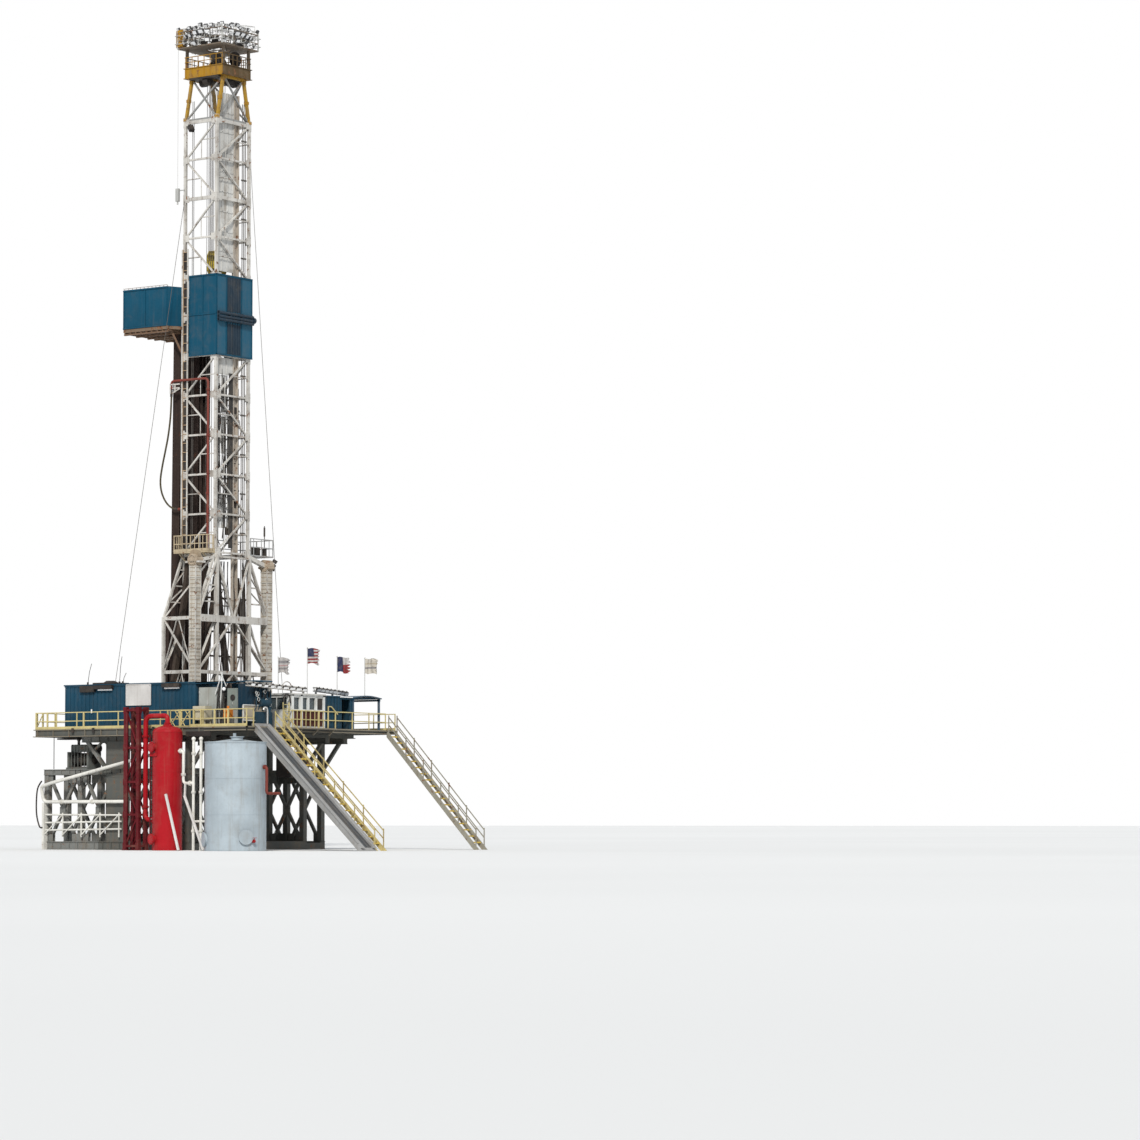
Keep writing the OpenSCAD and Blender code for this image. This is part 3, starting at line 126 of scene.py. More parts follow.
# Mesh builder
class Mesh:
    """Collects boxes, bars, tubes and plates, given from the well axis, into one piece."""

    def __init__(self, name, slot, material=None, body="rig"):
        self.name, self.slot, self.body = name, slot, body
        self.material = material or MAT[slot]
        self.v, self.f, self.smooth = [], [], []

    def add(self, verts, faces, smooth=False):
        n = len(self.v)
        self.v += [tuple(p) for p in verts]
        self.f += [tuple(n + i for i in q) for q in faces]
        self.smooth += [smooth] * len(faces)

    def hexa(self, p):
        self.add(p, [(0, 3, 2, 1), (4, 5, 6, 7), (0, 1, 5, 4), (1, 2, 6, 5), (2, 3, 7, 6), (3, 0, 4, 7)])

    def ends(self, first, last):
        """Flat faces on the first and the last ring of a round body."""
        self.add(first, [tuple(range(len(first) - 1, -1, -1))])
        self.add(last, [tuple(range(len(last)))])

    def block(self, a, b):
        """Box between two opposite corners."""
        (x0, x1), (y0, y1), (z0, z1) = (sorted(pair) for pair in zip(a, b))
        self.hexa([(x, y, z) for z in (z0, z1) for x, y in ((x0, y0), (x1, y0), (x1, y1), (x0, y1))])

    def plate(self, x, y, z, hx, hy, hz):
        """Box round a centre, with its half sizes."""
        self.block((x - hx, y - hy, z - hz), (x + hx, y + hy, z + hz))

    def stand(self, x, y, z0, z1, hx, hy=None):
        """Box round an upright line, with its half widths."""
        self.block((x - hx, y - (hy or hx), z0), (x + hx, y + (hy or hx), z1))

    def bar(self, a, b, w, t, up=Z):
        """Bar from a to b, w wide across up, t thick along up."""
        a, b = Vector(a), Vector(b)
        d = (b - a).normalized()
        s = square_to(d, up, X, 1e-6)
        n = s.cross(d).normalized()
        s, n = s * w / 2, n * t / 2
        self.hexa([p + q for p in (a, b) for q in (-s - n, s - n, s + n, n - s)])

    def post(self, x, y, z0, z1, w, t=None, up=X):
        self.bar((x, y, z0), (x, y, z1), w, t or w, up)

    def beam_x(self, x0, x1, y, z, w, t=None):
        self.bar((x0, y, z), (x1, y, z), w, t or w)

    def beam_y(self, x, y0, y1, z, w, t=None):
        self.bar((x, y0, z), (x, y1, z), w, t or w)

    def angle(self, a, b, w, t, up=Z):
        """Rolled angle section from a to b."""
        a, b = Vector(a), Vector(b)
        d = (b - a).normalized()
        s = square_to(d, up, X, 1e-6)
        n = s.cross(d).normalized()
        s, n = s * (w - t) / 2, n * (w - t) / 2
        self.bar(a + n, b + n, t, w, up)
        self.bar(a + s, b + s, w, t, up)

    def tube(self, pts, d, n=10, smooth=True):
        pts = [Vector(p) for p in pts]
        rings = []
        for i, p in enumerate(pts):
            t = (pts[min(i + 1, len(pts) - 1)] - pts[max(i - 1, 0)]).normalized()
            side = square_to(t) if i == 0 else (side - t * side.dot(t)).normalized()
            rings.append(circle(p, side, t.cross(side), d / 2, n))
        faces = [(a, e, c, b) for a, b, c, e in quads(len(pts), n)]
        self.add([q for r in rings for q in r], faces, smooth)
        self.ends(rings[0], rings[-1])

    def curve(self, pts, steps, d, n=8):
        """Tube along a smooth curve through the points."""
        self.tube(spline(pts, steps), d, n)

    def cyl(self, a, b, d, n=16):
        self.tube([a, b], d, n)

    def round_x(self, x0, x1, y, z, d, n=16):
        self.cyl((x0, y, z), (x1, y, z), d, n)

    def round_y(self, x, y0, y1, z, d, n=16):
        self.cyl((x, y0, z), (x, y1, z), d, n)

    def round_z(self, x, y, z0, z1, d, n=16):
        self.cyl((x, y, z0), (x, y, z1), d, n)

    def cone(self, x, y, z0, z1, d0, d1, n=16):
        """Upright cone from z0, where it is d0 wide, up to z1."""
        s = square_to(UP)
        r0, r1 = (circle(Vector((x, y, z)), s, UP.cross(s), d / 2, n) for z, d in ((z0, d0), (z1, d1)))
        self.add(r0 + r1, [(k, (k + 1) % n, n + (k + 1) % n, n + k) for k in range(n)], True)
        self.ends(r0, r1)

    def ring(self, centre, axis, d, bar, n=24, m=8):
        """Torus of mean diameter d and bar thickness bar."""
        c, axis = Vector(centre), Vector(axis).normalized()
        s = square_to(axis)
        spokes = circle(Vector(), s, axis.cross(s), 1, n)
        rows = [circle(c + out * d / 2, out, axis, bar / 2, m) for out in spokes]
        self.add([p for row in rows for p in row], quads(n, m, True), True)

    def ball(self, c, r, n=12, m=8):
        verts = [Vector(c) + (heading(a) * sin(pi * j / m) + UP * cos(pi * j / m)) * r
                 for j in range(m + 1) for a in turns(n)]
        self.add(verts, quads(m + 1, n), True)

    def bolts(self, pts, axis, d=0.022, h=0.012):
        for p in pts:
            self.tube([p, Vector(p) + Vector(axis).normalized() * h], d, 6, smooth=False)

    def make(self, bevel=0.0):
        me = bpy.data.meshes.new(self.name)
        me.from_pydata([(WX + x, WY + y, z) for x, y, z in self.v], [], self.f)
        me.polygons.foreach_set("use_smooth", self.smooth)
        me.update()
        o = linked(self.name, me)
        me.materials.append(self.material)
        if bevel:
            m = o.modifiers.new("bevel", "BEVEL")
            m.width, m.segments, m.limit_method = bevel, 1, "ANGLE"
        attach(o, self.body)
        return o


def make_all(*pieces):
    for piece in pieces:
        piece.make()


# Cord first
def spline(p, n):
    """Smooth curve through the points p, n steps between two of them."""
    out = []
    for i in range(len(p) - 1):
        a, b, c, d = p[max(i - 1, 0)], p[i], p[i + 1], p[min(i + 2, len(p) - 1)]
        for k in range(n):
            t = k / n
            out.append([0.5 * (2 * b[j] + (c[j] - a[j]) * t + (2 * a[j] - 5 * b[j] + 4 * c[j] - d[j]) * t * t
                               + (3 * b[j] - a[j] - 3 * c[j] + d[j]) * t ** 3) for j in range(3)])
    out.append(list(p[-1]))
    return out


STAND_Y = -0.955
HOSE = [(-1.125, STAND_Y, 15.100), (-1.125, STAND_Y, 14.800), (-1.160, STAND_Y, 14.200),
        (-1.250, STAND_Y, 13.600), (-1.370, STAND_Y, 13.100), (-1.500, STAND_Y, 12.600),
        (-1.580, STAND_Y, 12.150), (-1.560, -0.940, 11.800), (-1.450, -0.910, 11.500),
        (-1.280, -0.870, 11.280), (-1.080, -0.835, 11.170), (-0.900, -0.820, 11.150)]
HOSE_D = 0.060


# Materials
class Nodes:
    """Small helper round one material's node tree."""

    def __init__(self, name):
        self.mat = bpy.data.materials.new(name)
        self.mat.use_nodes = True
        self.t = self.mat.node_tree
        self.t.nodes.clear()
        out = self.new("ShaderNodeOutputMaterial")
        self.bsdf = self.new("ShaderNodeBsdfPrincipled")
        self.link(self.bsdf.outputs["BSDF"], out.inputs["Surface"])
        self.coord = self.new("ShaderNodeTexCoord").outputs["Object"]

    def new(self, kind):
        return self.t.nodes.new(kind)

    def link(self, a, b):
        self.t.links.new(a, b)

    def put(self, value, socket):
        """Number, colour or another node's output into a socket."""
        if isinstance(value, (int, float)):
            socket.default_value = value
        elif isinstance(value, tuple):
            socket.default_value = (*value, 1.0) if socket.type == "RGBA" else value
        else:
            self.link(value, socket)

    def set(self, **values):
        """Inputs of the surface, by name with _ for a space."""
        for key, value in values.items():
            self.put(value, self.bsdf.inputs[key.replace("_", " ")])

    def place(self):
        sep = self.new("ShaderNodeSeparateXYZ")
        self.link(self.coord, sep.inputs[0])
        return [sep.outputs[k] for k in "XYZ"]

    def scaled(self, s):
        m = self.new("ShaderNodeMapping")
        m.inputs["Scale"].default_value = s
        self.link(self.coord, m.inputs["Vector"])
        return m.outputs["Vector"]

    def noise(self, scale, detail=4.0, rough=0.55, vec=None, distort=0.0):
        n = self.new("ShaderNodeTexNoise")
        for k, x in zip(("Scale", "Detail", "Roughness", "Distortion"), (scale, detail, rough, distort)):
            n.inputs[k].default_value = x
        self.link(vec or self.coord, n.inputs["Vector"])
        return n.outputs["Fac"]

    def ramp(self, fac, lo, hi, a=0.0, b=1.0):
        m = self.new("ShaderNodeMapRange")
        m.interpolation_type = "SMOOTHSTEP"
        for k, x in zip(("From Min", "From Max", "To Min", "To Max"), (lo, hi, a, b)):
            m.inputs[k].default_value = x
        self.link(fac, m.inputs["Value"])
        return m.outputs["Result"]

    def math(self, op, a, b):
        m = self.new("ShaderNodeMath")
        m.operation = op
        self.put(a, m.inputs[0])
        self.put(b, m.inputs[1])
        return m.outputs[0]

    def both(self, a, b):
        return self.math("MULTIPLY", a, b)

    def minus(self, a, b):
        return self.math("SUBTRACT", a, b)

    def mix(self, fac, a, b):
        m = self.new("ShaderNodeMix")
        m.data_type = "RGBA"
        self.put(fac, m.inputs["Factor"])
        for key, x in (("A", a), ("B", b)):
            self.put(x, [i for i in m.inputs if i.name == key and i.type == "RGBA"][0])
        return [o for o in m.outputs if o.type == "RGBA"][0]

    def bump(self, height, strength, distance):
        b = self.new("ShaderNodeBump")
        b.inputs["Strength"].default_value = strength
        b.inputs["Distance"].default_value = distance
        self.link(height, b.inputs["Height"])
        self.link(b.outputs["Normal"], self.bsdf.inputs["Normal"])

    def chipped(self, fine, col, rough, grain, rust_colour, lo, hi):
        """Rust patches and chips over the paint's colour and roughness."""
        chips = self.ramp(self.noise(5.0 * grain, 8.0, 0.7, distort=0.6), lo, hi)
        tint = self.mix(self.ramp(fine, 0.35, 0.65), tone(rust_colour, 0.6), tone(rust_colour, 1.5))
        rough = self.math("MAXIMUM", rough, self.both(chips, 0.85))
        self.bump(self.minus(fine, self.both(chips, 0.5)), 0.35, 0.004)
        return self.mix(chips, col, tint), rough


def tone(c, k):
    return tuple(min(1.0, x * k) for x in c)


RUST = (0.17, 0.080, 0.040)
DIRT = (0.20, 0.155, 0.105)
LEG_DIRT = (0.17, 0.13, 0.10)
GLOSS = 0.13


def paint(name, colour, rust, dirt, streak, rough, metallic=0.0, grain=1.0,
          rust_colour=RUST, dirt_colour=DIRT):
    """Weathered paint: tone changes, rain streaks, grime, rust patches and chips."""
    n = Nodes(name)
    big = n.noise(0.9 * grain, 3.0)
    col = n.mix(n.ramp(big, 0.3, 0.7), tone(colour, 0.86), tone(colour, 1.08))
    fine = n.noise(14.0 * grain, 5.0, 0.6)
    col = n.mix(n.ramp(fine, 0.45, 0.75, 0.0, 0.25), col, tone(colour, 0.7))
    if streak:
        runs = n.noise(1.0, 5.0, 0.6, n.scaled((9.0 * grain, 9.0 * grain, 0.45 * grain)))
        col = n.mix(n.ramp(runs, 0.50, 0.78, 0.0, streak), col, dirt_colour)
    if dirt:
        grime = n.noise(2.2 * grain, 6.0, 0.65, distort=0.4)
        col = n.mix(n.ramp(grime, 0.46, 0.80, 0.0, dirt), col, dirt_colour)
    rough = n.ramp(fine, 0.3, 0.7, rough - 0.08, rough + 0.12)
    if rust:
        edge = 0.72 - 0.32 * rust
        col, rough = n.chipped(fine, col, rough, grain, rust_colour, edge, edge + 0.07)
    else:
        n.bump(fine, 0.25, 0.003)
    n.set(Base_Color=col, Roughness=rough, Metallic=metallic, Specular_IOR_Level=GLOSS)
    return n.mat


# Colour, rust, dirt, streaks and roughness of each paint, then metal and grain where they aren't 0 and 1
PAINTS = {
    "frame_paint": ((0.098, 0.102, 0.094), 0.28, 0.4, 0.35, 0.65),
    "deck_plate": ((0.21, 0.185, 0.14), 0.45, 0.6, 0.0, 0.7),
    "table_iron": ((0.20, 0.18, 0.16), 0.4, 0.4, 0.0, 0.45, 0.4),
    "mast_paint": ((0.585, 0.565, 0.525), 0.46, 0.75, 0.75, 0.6, 0.0, 1.0, RUST, LEG_DIRT),
    "crown_paint": ((0.35, 0.18, 0.018), 0.42, 0.7, 0.6, 0.55),
    "sheave_iron": ((0.16, 0.13, 0.10), 0.4, 0.5, 0.0, 0.4, 0.5),
    "galvanised": ((0.50, 0.50, 0.48), 0.3, 0.4, 0.2, 0.45, 0.5),
    "lamp_metal": ((0.075, 0.075, 0.078), 0.2, 0.3, 0.0, 0.45, 0.3),
    "board_steel": ((0.20, 0.14, 0.095), 0.6, 0.5, 0.2, 0.65),
    "windwall_paint": ((0.005, 0.065, 0.116), 0.10, 0.10, 0.12, 0.55),
    "rail_paint": ((0.60, 0.51, 0.24), 0.3, 0.45, 0.2, 0.55, 0.0, 2.0),
    "ladder_paint": ((0.45, 0.32, 0.20), 0.55, 0.4, 0.3, 0.6, 0.0, 2.0),
    "wire_rope": ((0.13, 0.12, 0.11), 0.2, 0.3, 0.0, 0.5, 0.5, 4.0),
    "pipe_rust": ((0.20, 0.045, 0.035), 0.35, 0.4, 0.3, 0.55),
    "hose_rubber": ((0.07, 0.06, 0.035), 0.0, 0.35, 0.0, 0.6, 0.0, 3.0),
    "service_rubber": ((0.05, 0.05, 0.05), 0.0, 0.4, 0.3, 0.55, 0.0, 2.0),
    "block_paint": ((0.55, 0.42, 0.06), 0.4, 0.55, 0.3, 0.5, 0.0, 2.0),
    "drive_paint": ((0.34, 0.27, 0.09), 0.4, 0.6, 0.3, 0.5, 0.0, 2.0),
    "drill_pipe": ((0.040, 0.027, 0.023), 0.40, 0.2, 0.35, 0.75, 0.0, 1.0,
                   (0.07, 0.032, 0.02), (0.09, 0.065, 0.05)),
    "house_paint": ((0.012, 0.057, 0.098), 0.10, 0.14, 0.15, 0.6),
    "door_paint": ((0.012, 0.050, 0.085), 0.25, 0.3, 0.3, 0.5),
    "cabinet_paint": ((0.355, 0.37, 0.345), 0.2, 0.35, 0.4, 0.5),
    # Navy paint darkened below the house's own colour, as painted shade for the house standing in shadow.
    "navy_paint": ((0.006, 0.026, 0.046), 0.15, 0.15, 0.2, 0.6),
    "cabin_paint": ((0.70, 0.71, 0.69), 0.2, 0.35, 0.4, 0.45),
    "roof_paint": ((0.62, 0.61, 0.57), 0.3, 0.45, 0.0, 0.55),
    "canopy_paint": ((0.06, 0.10, 0.14), 0.2, 0.4, 0.2, 0.5),
    "slide_steel": ((0.33, 0.33, 0.325), 0.25, 0.4, 0.4, 0.5, 0.1),
    "gate_paint": ((0.40, 0.35, 0.27), 0.25, 0.4, 0.3, 0.55),
    "tread_paint": ((0.70, 0.50, 0.10), 0.4, 0.5, 0.0, 0.55, 0.0, 2.0),
    "vessel_red": ((0.365, 0.009, 0.015), 0.0, 0.15, 0.2, 0.35),
    "frame_red": ((0.115, 0.008, 0.013), 0.2, 0.35, 0.2, 0.5),
    "tank_paint": ((0.39, 0.45, 0.49), 0.06, 0.25, 0.35, 0.45),
    "white_paint": ((0.74, 0.73, 0.68), 0.28, 0.4, 0.35, 0.45),
    "winch_paint": ((0.14, 0.15, 0.14), 0.35, 0.55, 0.2, 0.5),
    "pole_metal": ((0.62, 0.62, 0.60), 0.0, 0.25, 0.0, 0.35, 0.7),}
MAT = {name: paint(name, *look) for name, look in PAINTS.items()}
DARK = paint("dark_steel", (0.045, 0.04, 0.038), 0.3, 0.4, 0.0, 0.55, 0.3)
UMBER = paint("umber_steel", (0.060, 0.045, 0.036), 0.4, 0.3, 0.3, 0.65, dirt_colour=(0.10, 0.08, 0.06))
BROWN = paint("brown_steel", (0.16, 0.10, 0.065), 0.5, 0.5, 0.3, 0.6)
TRACK = paint("guide_track", (0.46, 0.41, 0.35), 0.5, 0.7, 0.6, 0.6)
RIB = paint("column_rib", (0.40, 0.33, 0.25), 0.5, 0.6, 0.2, 0.6)
SHEET = paint("guard_sheet", (0.59, 0.585, 0.56), 0.3, 0.6, 0.75, 0.55)
SIGN = paint("sign_white", (0.66, 0.64, 0.62), 0.06, 0.25, 0.3, 0.5)
CREAM = paint("cream_box", (0.50, 0.46, 0.34), 0.15, 0.35, 0.3, 0.5)
GREYGREEN = paint("panel_grey", (0.20, 0.23, 0.21), 0.15, 0.35, 0.3, 0.5)
ORANGE = paint("valve_orange", (0.62, 0.20, 0.03), 0.15, 0.3, 0.2, 0.5)
MAROON = paint("cabin_maroon", (0.07, 0.022, 0.018), 0.3, 0.4, 0.2, 0.6)
EDGE = paint("deck_edge_beige", (0.225, 0.200, 0.155), 0.45, 0.6, 0.3, 0.65)
SLATE = paint("slate_steel", (0.022, 0.040, 0.060), 0.05, 0.2, 0.2, 0.5)
SHED = paint("shed_blue", (0.010, 0.042, 0.068), 0.1, 0.15, 0.2, 0.55)
DARKGREY = paint("slide_bed_grey", (0.075, 0.08, 0.085), 0.2, 0.4, 0.3, 0.45)
WALK = paint("crown_walkway", (0.16, 0.13, 0.10), 0.5, 0.5, 0.2, 0.6)
LENS = paint("lamp_lens", (0.95, 0.96, 0.97), 0.0, 0.0, 0.0, 0.12)


def make_glass():
    n = Nodes("cabin_glass_mat")
    grime = n.noise(3.0, 5.0, 0.6)
    n.set(Base_Color=n.mix(n.ramp(grime, 0.4, 0.8), (0.10, 0.14, 0.16), (0.22, 0.24, 0.23)),
          Roughness=n.ramp(grime, 0.4, 0.8, 0.06, 0.35), Transmission_Weight=0.55, IOR=1.45)
    return n.mat


def by_place(name, first, second, where, wear=1.0):
    """Two weathered colours on one node: where(n, x, y, z) gives the mask of the second. For the crown beams
    the second colour is a painted shade, and on the mast screen it is partly a painted sky reflection.
    """
    n = Nodes(name)
    x, y, z = n.place()
    x, y = n.minus(x, WX), n.minus(y, WY)
    col = n.mix(where(n, x, y, z), first, second)
    fine = n.noise(14.0, 5.0, 0.6)
    runs = n.noise(1.0, 5.0, 0.6, n.scaled((9.0, 9.0, 0.45)))
    col = n.mix(n.ramp(runs, 0.46, 0.76, 0.0, 0.5 * wear), col, (0.17, 0.12, 0.08))
    grime = n.noise(2.2, 6.0, 0.65, distort=0.4)
    col = n.mix(n.ramp(grime, 0.44, 0.78, 0.0, 0.6 * wear), col, DIRT)
    rough = n.ramp(fine, 0.3, 0.7, 0.45, 0.65)
    col, rough = n.chipped(fine, col, rough, 1.0, RUST, 0.69 - 0.12 * wear, 0.76 - 0.12 * wear)
    n.set(Base_Color=col, Roughness=rough, Specular_IOR_Level=GLOSS)
    return n.mat


def off_leg(n, x, y, z):
    """Braces of the crown section: more than a leg's width from the leaning legs' lines."""
    line = n.minus(0.820, n.both(n.minus(z, 23.95), 0.32 / 1.45))
    dy = n.minus(line, n.math("ABSOLUTE", y, 0.0))
    dx = n.minus(0.67, n.math("ABSOLUTE", x, 0.0))
    beside = n.math("LESS_THAN", n.math("ABSOLUTE", dy, 0.0), 0.085)
    near = n.both(n.math("LESS_THAN", dx, 0.07), beside)
    beam = n.math("MAXIMUM", near, n.math("GREATER_THAN", z, 25.30))
    return n.minus(1.0, beam)


# Crown beams and fittings: yellow paint, and on the +X side (x > 0.80) a dark brown painted shade for the
# faces turned away from the light.
CROWN_PAINT_AND_SHADE = by_place("crown_beam_paint_and_shade", (0.38, 0.20, 0.018), (0.095, 0.062, 0.028),
                       lambda n, x, y, z: n.math("GREATER_THAN", x, 0.80))
SKID = by_place("skid_paint", (0.098, 0.102, 0.094), (0.185, 0.190, 0.180),
                lambda n, x, y, z: n.math("LESS_THAN", x, -0.75), 0.8)
PLATFORM = by_place("mast_platform_paint", (0.52, 0.43, 0.29), (0.38, 0.39, 0.39),
                    lambda n, x, y, z: n.math("GREATER_THAN", y, 0.3))
NODE_MAT = {
    "skid_near": SKID,
    "skid_far": SKID,
    "skid_spreader": SKID,
    # The crown beams take the yellow paint with its dark brown painted shade on the +X side.
    "crown_beams": CROWN_PAINT_AND_SHADE,
    "crown_section": by_place("crown_section_paint", (0.40, 0.235, 0.03), (0.27, 0.275, 0.27), off_leg),
    "stair_sides": by_place("stair_side_paint", (0.54, 0.45, 0.20), (0.30, 0.29, 0.24),
                            lambda n, x, y, z: n.math("GREATER_THAN", y, 1.0)),
    # Mast screen: blue paint, lighter on the +X face (x > 0.75). That lighter tone is partly weathered paint
    # and partly a painted sky reflection on that face.
    "mast_screen": by_place("mast_screen_paint_and_painted_reflection", (0.005, 0.065, 0.116), (0.020, 0.098, 0.160),
                            lambda n, x, y, z: n.math("GREATER_THAN", x, 0.75), 0.25),
    "columns": by_place("column_paint", (0.56, 0.53, 0.47), (0.33, 0.26, 0.18),
                        lambda n, x, y, z: n.math("GREATER_THAN", z, 9.18)),
    "tool_shed": SHED,
    "crown_platform": WALK,
    "mast_platform": PLATFORM,
}
MAT["glass"] = make_glass()
SLOT_OF = {s["node"]: s["material_slot"] for s in frame["record"]["subparts"]}


def dress_nodes():
    for name, o in NODES.items():
        m = MAT.get(SLOT_OF.get(name))
        if m is None:
            continue
        if not o.material_slots:
            o.data.materials.append(m)
        for s in o.material_slots:
            s.material = NODE_MAT.get(name, m)


def make_hose():
    route = spline(HOSE, 6)
    hose = Mesh("hose", "hose_rubber")
    hose.tube(route, HOSE_D, 16)
    o = hose.make()
    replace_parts(o, "rotary_hose")


make_hose()
dress_nodes()


# Mast and crown
HX, HY, FY = 0.67, 0.82, 1.81
MAST_Z, BAY, BAYS = 9.65, 1.3, 11
MAST_TOP = MAST_Z + BAY * BAYS
CROWN_TOP = 25.75
KNEE_Z, SHOULDER_Z = 5.75, 7.5
CROWN_X, CROWN_Y, CROWN_Z = 0.956, 0.926, 26.93
RING_LAMPS = 26
rnd = random.Random(7)


def girt(i):
    return MAST_Z + i * BAY + (0.03 if i == 0 else -0.055 if i == BAYS else 0.0)


def make_gussets():
    plates = Mesh("mast_gussets", "mast_paint")
    bolts = (-0.13, -0.07, 0.07, 0.13)
    for s in (-1, 1):
        y = s * (HY + 0.047)
        for z in map(girt, range(BAYS + 1)):
            for x in (-HX, HX):
                k = -1 if x > 0 else 1
                plates.block((x + k * 0.04, y - 0.004, z - 0.11), (x + k * 0.20, y + 0.004, z + 0.11))
                plates.plate(x, y, z, 0.052, 0.006, 0.17)
                plates.bolts([(x + dx, y + s * 0.005, z + dz) for dx in (-0.03, 0.03) for dz in bolts],
                             (0, s, 0))
    x = HX + 0.047
    for z in map(girt, range(BAYS + 1)):
        for y in (-HY, HY):
            k = -1 if y > 0 else 1
            plates.block((x - 0.004, y + k * 0.04, z - 0.11), (x + 0.004, y + k * 0.20, z + 0.11))
            plates.plate(x, y, z, 0.006, 0.052, 0.17)
            plates.bolts([(x + 0.005, y + dy, z + dz) for dy in (-0.03, 0.03) for dz in bolts], X)
    plates.make()


def make_sub_bracing():
    laces = Mesh("mast_sub_bracing", "mast_paint")
    for i in range(BAYS):
        s = 1 if (BAYS - i) % 2 == 0 else -1
        z0, z1 = girt(i), girt(i + 1)
        zm = (z0 + z1) / 2
        for y in (-HY, HY):
            laces.angle((0, y, zm), (-s * HX, y, zm), 0.035, 0.007)
            laces.angle((0, y, zm), (0, y, z1 if y > 0 else z0), 0.032, 0.006, Y)
        laces.angle((HX, 0, zm), (HX, -s * HY, zm), 0.035, 0.007)
        laces.angle((HX, s * HY / 2, z0), (HX, s * HY / 2, zm - BAY / 4), 0.03, 0.006, X)
        laces.angle((-HX + 0.05, -HY + 0.05, z0), (-HX + 0.35, -HY + 0.05, z0), 0.03, 0.006)
    for z0, z1, k in ((FLOOR_Z, KNEE_Z, 1), (KNEE_Z, SHOULDER_Z, -1)):
        for s in (-1, 1):
            for x in (-HX, HX - 0.13):
                laces.angle((x, s * FY, z0), (HX * k * 0.1, s * FY, z1), 0.05, 0.009)
    for s in (-1, 1):
        y = s * HY
        for x in (-HX, HX):
            a, b = Vector((x, y, MAST_Z)), Vector((x, s * FY, SHOULDER_Z))
            for t in (0.25, 0.5, 0.75):
                q = a + (b - a) * t
                laces.angle(q, (x, y, q.z), 0.045, 0.008)
                laces.angle(q, (x, y, q.z + 0.5), 0.035, 0.007)
            laces.angle((x, s * FY, KNEE_Z), (x, y, SHOULDER_Z), 0.055, 0.009)
            laces.angle((x, y, KNEE_Z), (x, y, SHOULDER_Z), 0.06, 0.010, Y)
            laces.angle((x, y, FLOOR_Z), (x, y, KNEE_Z), 0.06, 0.010, Y)
            laces.angle((x, s * FY, KNEE_Z), (x, y, KNEE_Z), 0.06, 0.010)
            laces.angle((x, s * FY, FLOOR_Z + 0.05), (x, y, KNEE_Z), 0.05, 0.009)
    laces.make()


def make_guard_and_track():
    guard = Mesh("mast_guard_panel", "mast_paint", SHEET)
    x = HX - 0.09
    for z0, z1 in ((18.95, 24.85), (15.55, 16.10)):
        n = max(1, round((z1 - z0) / 0.65))
        for i in range(n):
            a, b = z0 + (z1 - z0) * i / n, z0 + (z1 - z0) * (i + 1) / n
            guard.block((x - 0.003, -0.72, a + 0.004), (x + 0.003, 0.10, b - 0.004))
            guard.beam_y(x + 0.012, -0.72, 0.10, a, 0.02, 0.03)
        for y in (-0.72, -0.45, -0.18, 0.10):
            guard.post(x + 0.012, y, z0, z1, 0.03, 0.02)
    guard.make()
    track = Mesh("mast_guide_track", "mast_paint", TRACK)
    for y in (0.14, 0.36):
        track.post(x, y, 4.0, 24.85, 0.035, 0.09)
    track.post(x - 0.03, 0.25, 4.0, 24.85, 0.20, 0.012)
    for i in range(BAYS):
        track.block((x, 0.11, girt(i) - 0.03), (HX - 0.03, 0.39, girt(i) + 0.03))
    track.make()


def crown_ring_lamps(lamps, glass, truss):
    for ring, (spread, z, size) in enumerate(((1.10, -0.12, 0.13), (0.98, 0.12, 0.11), (1.14, -0.42, 0.12))):
        for i, a in enumerate(turns(RING_LAMPS, 0.5 * ring)):
            c, q = cos(a), sin(a)
            k = 1 / max(abs(c), abs(q))
            r = spread * (0.35 * k + 0.65)
            m = Vector((CROWN_X * r * c, CROWN_Y * r * q, CROWN_Z + z + rnd.uniform(-0.05, 0.05)))
            if ring == 2 and i % 2:
                continue
            out = Vector((c, q, -0.75 + rnd.uniform(-0.25, 0.25))).normalized()
            side = square_to(out)
            up = out.cross(side)
            w = size * rnd.uniform(0.85, 1.15)
            lamps.bar(m - out * 0.05, m + out * 0.03, w * 1.3, w, up)
            lamps.bar(m - out * 0.10, m - out * 0.05, w * 0.6, w * 0.5, up)
            glass.bar(m + out * 0.031, m + out * 0.038, w * 1.15, w * 0.85, up)
            foot = m - UP * 0.13 - out * 0.06
            for e in (-1, 1):
                arm = side * e * w * 0.72
                lamps.bar(m + arm - out * 0.02, foot + arm, 0.012, 0.02)
            truss.cyl(foot, (CROWN_X * c * 0.75 * k, CROWN_Y * q * 0.75 * k, CROWN_Z - 0.30), 0.018, 6)


